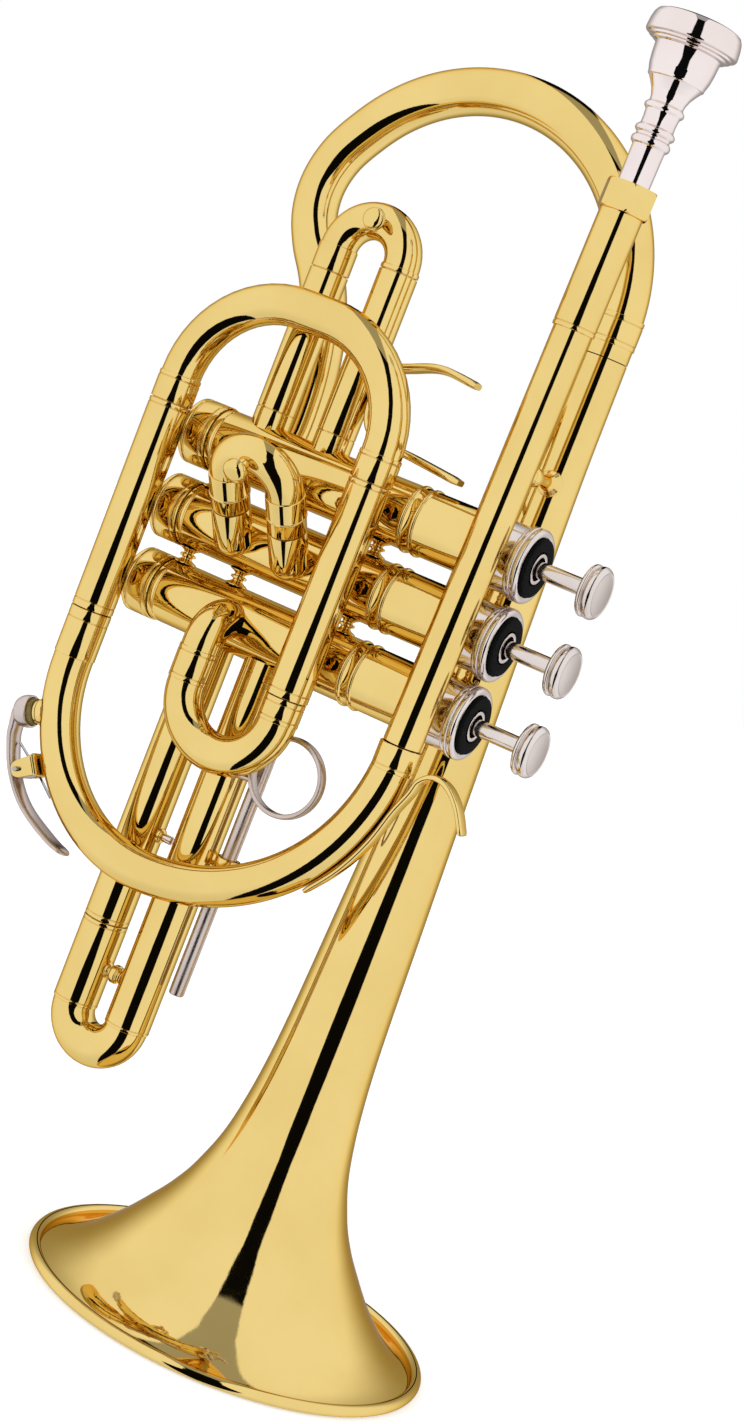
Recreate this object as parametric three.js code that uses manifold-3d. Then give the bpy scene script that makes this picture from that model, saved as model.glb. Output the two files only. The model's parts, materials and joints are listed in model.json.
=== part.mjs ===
// Cornet in B flat, lacquered brass, in millimetres.
// Frame: the origin is the centre of the bell's rim plane and the bell's axis is +Z,
// toward the mouthpiece. +X points to the finger buttons and -Y to the player's right.
import * as THREE from "three";
import { mergeVertices } from "three/addons/utils/BufferGeometryUtils.js";
import Module from "manifold-3d";

const wasm = await Module();
wasm.setup();

// Layers of tubing, counted across the instrument.
const VALVE_Y = -22; // the three valves lie beside the bell's throat
const NEAR_Y = -40; // leadpipe, front bow and main tuning slide
const GAP = 0.3; // clearance left where two pieces meet
const WALL = 0.6;

// Bell and crook.
const BELL_RIM_R = 63.5;
const BELL_LENGTH = 305;
const CROOK_R = 7.1;
const CROOK_BEND = 54.8;
const CROOK_Z = 314;

// Leadpipe, receiver and mouthpiece.
const LEAD_X = 4.5;
const LEAD_R = 5.6;
const LEAD_TOP = 322;
const RECEIVER = { bottom: 306.6, hexBottom: 340.8, top: 348.8, r: 6.2, hexR: 7.9, bore: 5.1 };
const MOUTHPIECE = { rimR: 13.3, top: 395.5, shankEnd: 325 };
const LEAN = { degrees: 0.9, z: 255 }; // the leadpipe leans toward the buttons, about this height

// Front bow: a tight quarter on the left and a long one on the right.
const BOW = { lowX: -62, lowZ: 117.8, leftZ: 166, rightX: 3.4, rightZ: 181, r: 6.05 };

// Main tuning slide.
const MAIN = { left: -106.5, right: -35.5, sleeveR: 6.35, sleeveLow: 182, sleeveTop: 247.4, bendZ: 256 };
const INLET = { left: -67.5, bendZ: 174.5, elbow: 8, r: 5.9 };

// Valves. Distances along a valve are measured on X, from the bottom cap to the button.
const VALVE_COUNT = 3;
const VALVE_1_Z = 242.4;
const VALVE_PITCH = 23.9;
const CASING = { r: 9.7, bore: 8.8, bottom: -104, top: 7.6, threadR: 9.25 };
const BOTTOM_CAP = { end: -106, lip: -96, r: 10.15 };
const TOP_CAP = { lip: 2, rim: 8, face: 13.6, neckR: 10.4, rimR: 11.15 };
const PISTON = { r: 8.5, bottom: -90, shoulder: -36, top: 6.3, barrelBore: 7.6 };
const GUIDE = { x: -20, thick: 3.4, width: 3.6 };
const STEM = { r: 2.5, top: 29.8 };
const BUTTON = { r: 7.8, thick: 5.4 };
const PRESS = 14; // travel of a piston

// Valve slides: the places of their two legs on the valves.
const FIRST = { legs: [-82.5, -60.8], r: 5.9, sleeveTop: [300, 306.3], bendZ: 308 };
const SECOND = { legs: [-74.4, -54.4], r: 5.8, tilt: 0.7418, aside: 8.8, heel: 7, sleeveTop: 19, bend: 31.7 };
const THIRD = { legs: [-74, -54.4], r: 7, sleeveLow: [96, 156.3], bendZ: 69, rodX: -43, rodR: 2.35 };
const CROSSOVERS = [-67, -45.5];
const OUTLET_X = -85;

// Water key: degrees round the front bow's left quarter, and the hinge's distance from its centre.
const KEY = { cork: 20, pivot: 37, pivotOut: 13 };

// Finger ring, finger hook and braces.
const RING = { x: -31, y: -30, z: 159.5, r: 12.2, bore: 10.5, width: 3.6 };
const BRACE = { x: 2.2, z: 266 };

const BRASS = { color: 0xe0bd62, roughness: 0.18, metalness: 1 };
const SILVER = { color: 0xe4dedb, roughness: 0.14, metalness: 1 };
const NICKEL = { color: 0xcfc4ba, roughness: 0.25, metalness: 1 };
const STEEL = { color: 0xb9bcc0, roughness: 0.3, metalness: 1 };
const FELT = { color: 0x141414, roughness: 0.9, metalness: 0 };
const CORK = { color: 0x8a6a35, roughness: 0.85, metalness: 0 };

const cornet = new THREE.Group();
const vec = (x, y, z) => new THREE.Vector3(x, y, z);

function add(name, geometry, look, parent = cornet) {
  const mesh = new THREE.Mesh(geometry, new THREE.MeshStandardMaterial(look));
  mesh.name = name;
  parent.add(mesh);
  return mesh;
}

// ---- Solids ----

function solid(geometry) {
  const bare = geometry.clone();
  bare.deleteAttribute("normal");
  bare.deleteAttribute("uv");
  const merged = mergeVertices(bare, 1e-4);
  const mesh = new wasm.Mesh({
    numProp: 3,
    vertProperties: new Float32Array(merged.attributes.position.array),
    triVerts: new Uint32Array(merged.index.array),
  });
  return new wasm.Manifold(mesh);
}

function geometryOf(manifold) {
  const mesh = manifold.getMesh();
  const geometry = new THREE.BufferGeometry();
  geometry.setAttribute("position", new THREE.BufferAttribute(mesh.vertProperties, 3));
  geometry.setIndex(new THREE.BufferAttribute(mesh.triVerts, 1));
  geometry.computeVertexNormals();
  return geometry;
}

const joined = (pieces) => pieces.map(solid).reduce((whole, piece) => whole.add(piece));

// A turned solid about Z from its profile of [radius, height] points.
function turned(profile, sides = 16) {
  const points = profile.map(([r, h]) => new THREE.Vector2(r, h));
  return new THREE.LatheGeometry(points, sides).rotateX(Math.PI / 2);
}

function rod(r, z0, z1, sides = 12) {
  return turned([[0, z0], [r, z0], [r, z1], [0, z1]], sides);
}

function pipe(r, bore, z0, z1, sides = 12) {
  return turned([[bore, z0], [r, z0], [r, z1], [bore, z1], [bore, z0]], sides);
}

const alongX = (geometry) => geometry.rotateY(Math.PI / 2);
const alongY = (geometry) => geometry.rotateX(-Math.PI / 2);

// A route of straight and curved stretches, given by its points.
class Route extends THREE.Curve {
  constructor(points) {
    super();
    this.points = points;
    this.last = points.length - 1;
  }
  getUtoTmapping(u) {
    return u;
  }
  getPoint(t, target = new THREE.Vector3()) {
    const place = t * this.last;
    const index = Math.min(Math.floor(place + 1e-9), this.last - 1);
    return target.lerpVectors(this.points[index], this.points[index + 1], place - index);
  }
  getTangent(t, target = new THREE.Vector3()) {
    const index = Math.round(t * this.last);
    const before = this.points[Math.max(index - 1, 0)];
    const after = this.points[Math.min(index + 1, this.last)];
    return target.subVectors(after, before).normalize();
  }
}

// A round bar along a route.
function swept(points, r, sides = 10) {
  const section = new THREE.Shape().absarc(0, 0, r, 0, 2 * Math.PI);
  const route = new Route(points);
  return new THREE.ExtrudeGeometry(section, {
    steps: route.last,
    curveSegments: sides / 2,
    extrudePath: route,
  });
}

// The same route, a little longer at both ends, for boring a tube.
function lengthened(points, extra = 1) {
  const first = points[0].clone().sub(points[1]).setLength(extra).add(points[0]);
  const end = points.at(-1).clone().sub(points.at(-2)).setLength(extra).add(points.at(-1));
  return [first, ...points.slice(1, -1), end];
}

function bentPipe(points, r, sides = 10) {
  const bore = swept(lengthened(points), r - WALL, sides);
  return solid(swept(points, r, sides)).subtract(solid(bore));
}

// Points on an ellipse in the XZ plane at depth y, angles in degrees from +X toward +Z.
function arc({ x, y = 0, z, rx, rz = rx, from, to, steps }) {
  return Array.from({ length: steps + 1 }, (_, i) => {
    const angle = THREE.MathUtils.degToRad(from + ((to - from) * i) / steps);
    return vec(x + rx * Math.cos(angle), y, z + rz * Math.sin(angle));
  });
}

// A flat strip in the XZ plane along a curve through points [x, z], width on Y.
function strip(points, thickness, width, steps = 14) {
  const curve = new THREE.SplineCurve(points.map(([x, z]) => new THREE.Vector2(x, z)));
  const middle = curve.getSpacedPoints(steps);
  const side = (sign) =>
    middle.map((point, i) => {
      const tangent = curve.getTangentAt(i / steps);
      const out = new THREE.Vector2(-tangent.y, tangent.x).multiplyScalar((sign * thickness) / 2);
      return point.clone().add(out);
    });
  const outline = new THREE.Shape([...side(1), ...side(-1).reverse()]);
  const flat = new THREE.ExtrudeGeometry(outline, { depth: width, bevelEnabled: false });
  return flat.translate(0, 0, -width / 2).rotateX(Math.PI / 2);
}

// ---- Valves ----

const valveZ = (number) => VALVE_1_Z - (number - 1) * VALVE_PITCH;

// The room that a casing takes, which each tube soldered to it is cut to.
function casingRoom(number) {
  const room = alongX(rod(CASING.r + GAP, CASING.bottom, CASING.top, 20));
  return solid(room.translate(0, VALVE_Y, valveZ(number)));
}

// Directions in which a valve's tubes leave it: turns about X from +Z toward -Y.
const UP = 0;
const TILTED = SECOND.tilt;
const RIGHT = Math.PI / 2;
const ASIDE = TILTED + Math.PI / 5; // where the second slide's tubes open into the casing
const DOWN = Math.PI;
const LEFT = (3 * Math.PI) / 2;

const VALVE_PORTS = {
  1: [[FIRST.legs[0], UP], [FIRST.legs[1], UP], [OUTLET_X, LEFT], [CROSSOVERS[0], DOWN]],
  2: [[SECOND.legs[0], ASIDE], [SECOND.legs[1], ASIDE], [CROSSOVERS[0], UP], [CROSSOVERS[1], DOWN]],
  3: [[THIRD.legs[0], DOWN], [THIRD.legs[1], DOWN], [INLET.left, RIGHT], [CROSSOVERS[1], UP]],
};

// Balusters between the casings, soldered to the middle one.
const BALUSTERS = { up: [-92.9, -35, -2], down: [-92.9, -74, -35, -2] };

function baluster(x, up) {
  const reach = VALVE_PITCH - CASING.r - GAP;
  const waist = (CASING.r + reach) / 2;
  const post = turned([
    [0, CASING.r - 0.6],
    [3.2, CASING.r - 0.6],
    [1.7, waist - 1],
    [2.4, waist],
    [1.7, waist + 1],
    [3, reach],
    [0, reach],
  ], 6);
  return post.rotateX(up ? 0 : Math.PI).translate(x, 0, 0);
}

function casing(number) {
  const shell = turned([
    [CASING.bore, CASING.bottom],
    [CASING.threadR, CASING.bottom],
    [CASING.threadR, BOTTOM_CAP.lip + GAP],
    [CASING.r, BOTTOM_CAP.lip + GAP],
    [CASING.r, -27.6],
    [CASING.r + 0.6, -27.1],
    [CASING.r + 0.6, -22],
    [CASING.r, -21.5],
    [CASING.r, TOP_CAP.lip - GAP],
    [CASING.threadR, TOP_CAP.lip - GAP],
    [CASING.threadR, CASING.top],
    [CASING.bore, CASING.top],
    [CASING.bore, CASING.bottom],
  ], 16);
  let body = solid(alongX(shell));
  if (number === 2) {
    for (const x of BALUSTERS.up) body = body.add(solid(baluster(x, true)));
    for (const x of BALUSTERS.down) body = body.add(solid(baluster(x, false)));
    body = body.subtract(solid(alongX(rod(CASING.bore, CASING.bottom, CASING.top, 16))));
  }
  for (const [x, turn] of VALVE_PORTS[number]) {
    const drill = rod(4.6, CASING.bore - 2.5, CASING.r + 2, 6).rotateX(turn);
    body = body.subtract(solid(drill.translate(x, 0, 0)));
  }
  return geometryOf(body);
}

function bottomCap() {
  return alongX(turned([
    [1.5, BOTTOM_CAP.end],
    [BOTTOM_CAP.r - 1, BOTTOM_CAP.end],
    [BOTTOM_CAP.r, BOTTOM_CAP.end + 1],
    [BOTTOM_CAP.r, BOTTOM_CAP.lip],
    [CASING.threadR + GAP, BOTTOM_CAP.lip],
    [CASING.threadR + GAP, CASING.bottom - GAP],
    [1.5, CASING.bottom - GAP],
    [1.5, BOTTOM_CAP.end],
  ], 16));
}

function topCap() {
  const hole = STEM.r + 0.5;
  return alongX(turned([
    [hole, CASING.top + GAP],
    [CASING.threadR + GAP, CASING.top + GAP],
    [CASING.threadR + GAP, TOP_CAP.lip],
    [TOP_CAP.neckR, TOP_CAP.lip],
    [TOP_CAP.neckR, TOP_CAP.rim],
    [TOP_CAP.rimR, TOP_CAP.rim],
    [TOP_CAP.rimR, TOP_CAP.face],
    [9, TOP_CAP.face],
    [9, TOP_CAP.face - 2],
    [hole, TOP_CAP.face - 2],
    [hole, CASING.top + GAP],
  ], 16));
}

function capFelt() {
  const low = TOP_CAP.face - 2 + GAP;
  return alongX(pipe(8.7, STEM.r + 0.5, low, TOP_CAP.face + 1, 16));
}

// Ported lower part with two passages, and a slotted barrel above for the spring.
function piston(number) {
  const shell = turned([
    [0, PISTON.top - 2],
    [PISTON.barrelBore, PISTON.top - 2],
    [PISTON.barrelBore, PISTON.shoulder + 1.5],
    [0, PISTON.shoulder + 1.5],
    [0, PISTON.shoulder],
    [PISTON.barrelBore, PISTON.shoulder],
    [PISTON.barrelBore, PISTON.bottom],
    [PISTON.r, PISTON.bottom],
    [PISTON.r, PISTON.top],
    [0, PISTON.top],
  ], 16);
  const slotLength = PRESS + GUIDE.thick + 2;
  const slot = new THREE.BoxGeometry(slotLength, 30, GUIDE.width + 1);
  slot.translate(GUIDE.x - GUIDE.thick / 2 - 1 + slotLength / 2, 0, 0);
  let body = solid(alongX(shell)).subtract(solid(slot));
  const outline = solid(alongX(rod(PISTON.r, PISTON.bottom, PISTON.top, 16)));
  for (const [x, turn] of VALVE_PORTS[number].slice(0, 2)) {
    const across = crossways(4.9, x, turn).intersect(outline);
    body = body.add(across).subtract(crossways(4.3, x, turn));
  }
  return geometryOf(body);
}

function crossways(r, x, turn) {
  const half = PISTON.r + 2;
  return solid(rod(r, -half, half, 6).rotateX(turn).translate(x, 0, 0));
}

// Star-shaped guide, held by keyways in the casing.
function valveGuide() {
  const arms = new THREE.BoxGeometry(GUIDE.thick, 2 * (CASING.bore - 0.5), GUIDE.width);
  const hub = alongX(rod(6.6, -GUIDE.thick / 2, GUIDE.thick / 2, 12));
  return geometryOf(joined([arms, hub]).translate([GUIDE.x, 0, 0]));
}

function coil({ r, wire, from, to, turns, perTurn = 10, sides = 5 }) {
  const steps = turns * perTurn;
  const points = Array.from({ length: steps + 1 }, (_, i) => {
    const angle = (2 * Math.PI * i) / perTurn;
    return vec(from + ((to - from) * i) / steps, r * Math.cos(angle), r * Math.sin(angle));
  });
  const section = new THREE.Shape().absarc(0, 0, wire, 0, 2 * Math.PI);
  const route = new Route(points);
  return new THREE.ExtrudeGeometry(section, { steps, curveSegments: sides / 2, extrudePath: route });
}

function valveSpring() {
  const low = GUIDE.x + GUIDE.thick / 2 + 1.2;
  return coil({ r: 5.4, wire: 0.6, from: low, to: PISTON.top - 3.4, turns: 4, perTurn: 6, sides: 4 });
}

function stem() {
  return alongX(rod(STEM.r, PISTON.top + GAP, STEM.top, 12));
}

function button() {
  const low = STEM.top + GAP;
  return alongX(turned([
    [0, low],
    [BUTTON.r - 0.4, low],
    [BUTTON.r, low + 1],
    [BUTTON.r - 0.7, low + 1.9],
    [BUTTON.r, low + 2.8],
    [BUTTON.r, low + BUTTON.thick - 1.3],
    [BUTTON.r - 1.4, low + BUTTON.thick],
    [0, low + BUTTON.thick],
  ], 16));
}

function valve(number) {
  const group = new THREE.Group();
  group.position.set(0, VALVE_Y, valveZ(number));
  cornet.add(group);
  add(`valve_casing_${number}`, casing(number), BRASS, group);
  add(`bottom_cap_${number}`, bottomCap(), BRASS, group);
  add(`top_cap_${number}`, topCap(), NICKEL, group);
  add(`cap_felt_${number}`, capFelt(), FELT, group);
  add(`piston_${number}`, piston(number), NICKEL, group);
  add(`valve_guide_${number}`, valveGuide(), BRASS, group);
  add(`valve_spring_${number}`, valveSpring(), STEEL, group);
  add(`valve_stem_${number}`, stem(), NICKEL, group);
  add(`finger_button_${number}`, button(), NICKEL, group);
}

function crossover(upper, x) {
  const tube = solid(pipe(5.3, 4.6, valveZ(upper + 1), valveZ(upper)).translate(x, VALVE_Y, 0));
  const cut = tube.subtract(casingRoom(upper)).subtract(casingRoom(upper + 1));
  add(`crossover_${upper}_${upper + 1}`, geometryOf(cut), BRASS);
}

// ---- Slides ----

// A U-shaped slide in its own frame: the bend is at +Z and the legs run to -Z.
// shanks are the visible ends of the legs, and runs the thinner lengths inside the sleeves.
function slide({ spacing, corner = spacing / 2, r, legR, shanks, runs, steps = 8 }) {
  const half = spacing / 2;
  const top = (sign, from, to) =>
    arc({ x: sign * (half - corner), z: 0, rx: corner, from, to, steps: steps / 2 });
  const bend = [...top(-1, 180, 90), ...top(1, 90, 0)].filter(
    (point, i, all) => i === 0 || point.distanceTo(all[i - 1]) > 1e-3,
  );
  const ends = [vec(-half, 0, -shanks[0] - runs[0]), vec(half, 0, -shanks[1] - runs[1])];
  const bow = [vec(-half, 0, -1), ...bend, vec(half, 0, -1)];
  let body = solid(swept(bow, r - 0.45));
  [-half, half].forEach((x, i) => {
    body = body.add(solid(rod(r, -shanks[i], 0).translate(x, 0, 0)));
    body = body.add(solid(rod(legR, -shanks[i] - runs[i], 0).translate(x, 0, 0)));
  });
  const bore = [ends[0], ...bend, ends[1]];
  return body.subtract(solid(swept(lengthened(bore), legR - WALL)));
}

function knob(name, parent, place, turn = 0) {
  const shape = turned([
    [0, 0],
    [2.1, 0],
    [1.8, 1.4],
    [3.5, 2.6],
    [3.7, 4],
    [2.6, 5.2],
    [0, 5.6],
  ], 10);
  const mesh = add(name, shape, BRASS, parent);
  mesh.position.copy(place);
  mesh.rotation.x = turn;
}

const middle = ([a, b]) => (a + b) / 2;

function mainSlide() {
  for (const side of ["left", "right"]) {
    const tube = pipe(MAIN.sleeveR, MAIN.sleeveR - 0.5, MAIN.sleeveLow, MAIN.sleeveTop);
    add(`main_slide_sleeve_${side}`, tube.translate(MAIN[side], NEAR_Y, 0), BRASS);
  }
  const shank = MAIN.bendZ - MAIN.sleeveTop - GAP;
  const body = slide({
    spacing: MAIN.right - MAIN.left,
    corner: 30.5,
    r: MAIN.sleeveR,
    legR: MAIN.sleeveR - 0.8,
    shanks: [shank, shank],
    runs: [60, 60],
    steps: 10,
  });
  const mesh = add("main_tuning_slide", geometryOf(body), BRASS);
  mesh.position.set(middle([MAIN.left, MAIN.right]), NEAR_Y, MAIN.bendZ);
}

// From the main slide's right sleeve round to the front of valve 3.
function inletBow() {
  const radius = (MAIN.right - INLET.left) / 2;
  const centre = middle([INLET.left, MAIN.right]);
  const bend = arc({ x: centre, y: NEAR_Y, z: INLET.bendZ, rx: radius, from: 0, to: -180, steps: 9 });
  const elbowZ = valveZ(3) - INLET.elbow;
  const elbow = Array.from({ length: 5 }, (_, i) => {
    const angle = (Math.PI / 2) * (i / 4);
    const y = NEAR_Y + INLET.elbow * (1 - Math.cos(angle));
    return vec(INLET.left, y, elbowZ + INLET.elbow * Math.sin(angle));
  });
  const start = vec(MAIN.right, NEAR_Y, MAIN.sleeveLow - GAP);
  const end = vec(INLET.left, VALVE_Y, valveZ(3));
  const tube = bentPipe([start, ...bend, ...elbow, end], INLET.r);
  add("valve_3_inlet_bow", geometryOf(tube.subtract(casingRoom(3))), BRASS);
}

function firstSlide() {
  const sides = ["left", "right"];
  sides.forEach((side, i) => {
    const tube = pipe(FIRST.r, FIRST.r - 0.5, valveZ(1), FIRST.sleeveTop[i]);
    const placed = solid(tube.translate(FIRST.legs[i], VALVE_Y, 0));
    add(`first_slide_sleeve_${side}`, geometryOf(placed.subtract(casingRoom(1))), BRASS);
  });
  const body = slide({
    spacing: FIRST.legs[1] - FIRST.legs[0],
    r: FIRST.r,
    legR: FIRST.r - 0.8,
    shanks: FIRST.sleeveTop.map((z) => FIRST.bendZ - z - GAP),
    runs: [40, 40],
  });
  const group = new THREE.Group();
  group.position.set(middle(FIRST.legs), VALVE_Y, FIRST.bendZ);
  cornet.add(group);
  add("first_slide", geometryOf(body), BRASS, group);
  const bend = (FIRST.legs[1] - FIRST.legs[0]) / 2;
  knob("first_slide_knob", group, vec(1.8, -FIRST.r, bend - 0.7), RIGHT);
}

// Two prongs that the left thumb lies between, soldered to the right sleeve.
function thumbSaddle() {
  const foot = FIRST.legs[1] + FIRST.r + GAP;
  const upper = [[1.1, 272], [3, 279], [10, 282.5], [19, 285], [31, 284]];
  const lower = [[1.1, 273], [2.6, 264], [8, 259.5], [20, 258.4], [37, 256.6]];
  const prongs = [upper, lower].map((points) => strip(points.map(([x, z]) => [foot + x, z]), 2.2, 6));
  const body = joined(prongs);
  add("thumb_saddle", geometryOf(body.translate([0, VALVE_Y, 0])), BRASS);
}

// The second slide stands off its casing toward the player's right and the mouthpiece.
// Its tubes meet the casing beside its middle, each with a rounded heel.
function secondSlide() {
  const group = new THREE.Group();
  group.position.set(0, VALVE_Y, valveZ(2));
  group.rotation.x = SECOND.tilt;
  cornet.add(group);
  const room = solid(alongX(rod(CASING.r + GAP, CASING.bottom, CASING.top, 20)));
  ["left", "right"].forEach((side, i) => {
    const heel = new THREE.SphereGeometry(SECOND.r, 12, 8).rotateX(Math.PI / 2).translate(0, 0, SECOND.heel);
    const tube = solid(rod(SECOND.r, SECOND.heel, SECOND.sleeveTop)).add(solid(heel));
    const bore = solid(rod(SECOND.r - 0.5, SECOND.heel, SECOND.sleeveTop + 1));
    const placed = tube.subtract(bore).translate([SECOND.legs[i], -SECOND.aside, 0]);
    add(`second_slide_sleeve_${side}`, geometryOf(placed.subtract(room)), BRASS, group);
  });
  const shank = SECOND.bend - SECOND.sleeveTop - GAP;
  const spacing = SECOND.legs[1] - SECOND.legs[0];
  const body = slide({
    spacing,
    r: SECOND.r,
    legR: SECOND.r - 0.8,
    shanks: [shank, shank],
    runs: [8.8, 8.8],
  });
  const place = vec(middle(SECOND.legs), -SECOND.aside, SECOND.bend);
  add("second_slide", geometryOf(body), BRASS, group).position.copy(place);
  knob("second_slide_knob", group, place.clone().add(vec(0, -SECOND.r, spacing / 2)), RIGHT);
}

function thirdSlide() {
  ["left", "right"].forEach((side, i) => {
    const tube = pipe(THIRD.r, THIRD.r - 0.5, THIRD.sleeveLow[i], valveZ(3));
    let body = solid(tube.translate(THIRD.legs[i], VALVE_Y, 0)).subtract(casingRoom(3));
    if (side === "left") {
      const stud = alongX(rod(1.3, THIRD.r - 0.3, THIRD.r + 4.4, 10));
      body = body.add(solid(stud.translate(THIRD.legs[0], VALVE_Y, 126)));
    }
    add(`third_slide_sleeve_${side}`, geometryOf(body), BRASS);
  });

  const group = new THREE.Group();
  group.position.set(middle(THIRD.legs), VALVE_Y, THIRD.bendZ);
  group.rotation.y = Math.PI;
  cornet.add(group);
  const spacing = THIRD.legs[1] - THIRD.legs[0];
  const shanks = THIRD.sleeveLow.map((z) => z - GAP - THIRD.bendZ).reverse();
  let body = slide({ spacing, r: THIRD.r, legR: THIRD.r - 0.8, shanks, runs: [26, 50] });
  const half = spacing / 2;
  const inner = half - THIRD.r + 0.4;
  const brace = turned([
    [0, -inner],
    [3.4, -inner],
    [1.7, -2.4],
    [2.9, 0],
    [1.7, 2.4],
    [3.4, inner],
    [0, inner],
  ], 12);
  body = body.add(solid(alongX(brace).translate(0, 0, -13)));
  const rodOffset = THIRD.legs[1] - THIRD.rodX;
  body = body.add(solid(rodLug(rodOffset).translate(-half, 0, -(127 - THIRD.bendZ))));
  add("third_slide", geometryOf(body), BRASS, group);
}

// An eye on the slide's right shank that runs along the stop rod.
function rodLug(offset) {
  const arm = new THREE.BoxGeometry(-offset - THIRD.r + 0.8, 3, 4);
  arm.translate((offset - THIRD.r + 0.4) / 2, 0, 0);
  const eye = rod(THIRD.rodR + 1.5, -2, 2, 12).translate(offset, 0, 0);
  const hole = rod(THIRD.rodR + 0.4, -3, 3, 12).translate(offset, 0, 0);
  return geometryOf(joined([arm, eye]).subtract(solid(hole)));
}

// Fixed rod beside the third slide, on a post soldered to the right sleeve.
function stopRod() {
  const bar = rod(THIRD.rodR, 85, 168, 12).translate(THIRD.rodX, VALVE_Y, 0);
  const reach = THIRD.rodX - THIRD.legs[1] - THIRD.r - GAP;
  const post = alongX(rod(2.2, -reach, 0, 10)).translate(THIRD.rodX, VALVE_Y, 164);
  add("stop_rod", geometryOf(joined([bar, post])), NICKEL);
}

function fingerRing() {
  const { x, y, z, r, bore, width } = RING;
  const ring = alongY(pipe(r, bore, -width / 2, width / 2, 24)).translate(x, y, z);
  const from = vec(THIRD.legs[1] + 5.3, VALVE_Y - THIRD.r + 0.6, z - 5.6);
  const arm = swept([from, vec(-46.5, y + 0.6, z - 5.2), vec(x - 10.4, y, z - 4.6)], 1.2, 8);
  add("finger_ring", geometryOf(joined([ring, arm])), NICKEL);
}

// ---- Mouthpiece, leadpipe and bows ----

const leaning = new THREE.Group();
leaning.position.set(LEAD_X, NEAR_Y, LEAN.z);
leaning.rotation.y = THREE.MathUtils.degToRad(LEAN.degrees);
cornet.add(leaning);

// Adds a piece turned about the leadpipe's own axis.
function addLeaning(name, geometry, look) {
  add(name, geometry.translate(0, 0, -LEAN.z), look, leaning);
}

function mouthpiece() {
  const { rimR, top, shankEnd } = MOUTHPIECE;
  const shape = turned([
    [3.3, shankEnd],
    [4.25, shankEnd],
    [4.6, RECEIVER.top + 2],
    [4.7, 359.6],
    [5.6, 360.4],
    [5.6, 361.6],
    [4.8, 362.4],
    [5.7, 363.4],
    [5.7, 364.4],
    [4.8, 365.4],
    [4.9, 369],
    [5.7, 369.9],
    [5.7, 370.9],
    [4.8, 372.2],
    [5.4, 375.2],
    [7.8, 378.6],
    [8.9, 381.4],
    [9.5, 386.4],
    [rimR, 388],
    [rimR, 391.9],
    [rimR - 1.4, top - 0.6],
    [rimR - 3, top],
    [8.4, top - 1.2],
    [7.9, 388.5],
    [5.8, 383],
    [1.9, 379.4],
    [1.9, 374],
    [3.3, shankEnd],
  ], 12);
  addLeaning("mouthpiece", shape, SILVER);
}

function receiver() {
  const { bottom, hexBottom, top, r, hexR, bore } = RECEIVER;
  const sleeve = pipe(r, LEAD_R + GAP, bottom, hexBottom + 1);
  const seat = rod(r, LEAD_TOP + GAP, hexBottom + 1);
  const hex = rod(hexR, hexBottom, top, 6);
  const body = joined([sleeve, seat, hex]).subtract(solid(rod(bore, LEAD_TOP, top + 1)));
  addLeaning("mouthpiece_receiver", geometryOf(body), BRASS);
}

function leadpipe() {
  const tube = pipe(LEAD_R, LEAD_R - WALL, BOW.rightZ + 2 + GAP, LEAD_TOP);
  addLeaning("leadpipe", tube, BRASS);
}

function frontBow() {
  const { lowX, lowZ, leftZ, rightX, rightZ, r } = BOW;
  const y = NEAR_Y;
  const quarter = (z, rx, from) => arc({ x: lowX, y, z, rx, rz: z - lowZ, from, to: from + 90, steps: 8 });
  const left = quarter(leftZ, lowX - MAIN.left, 180);
  const right = quarter(rightZ, rightX - lowX, 270);
  const start = vec(MAIN.left, y, MAIN.sleeveLow - GAP);
  const end = vec(rightX, y, rightZ + 2);
  const points = [start, ...left, ...right.slice(1), end];
  const nipple = swept(corkSpan(5.4, 1.9 + r), 3.6, 10);
  const body = bentPipe(points, r).add(solid(nipple));
  add("front_bow", geometryOf(body), BRASS);
}

// ---- Water key ----

// Centre and outward direction of the front bow's left quarter, at degrees below its side.
function bowAt(degrees) {
  const angle = THREE.MathUtils.degToRad(degrees);
  const rx = BOW.lowX - MAIN.left;
  const rz = BOW.leftZ - BOW.lowZ;
  const centre = vec(BOW.lowX - rx * Math.cos(angle), NEAR_Y, BOW.leftZ - rz * Math.sin(angle));
  const out = vec(-rz * Math.cos(angle), 0, -rx * Math.sin(angle)).normalize();
  return { centre, out };
}

function bowPoint(degrees, distance) {
  const { centre, out } = bowAt(degrees);
  return centre.addScaledVector(out, distance);
}

// A short straight route outward from the bow at the cork.
function corkSpan(from, to) {
  return [bowPoint(KEY.cork, from), bowPoint(KEY.cork, to)];
}

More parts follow.
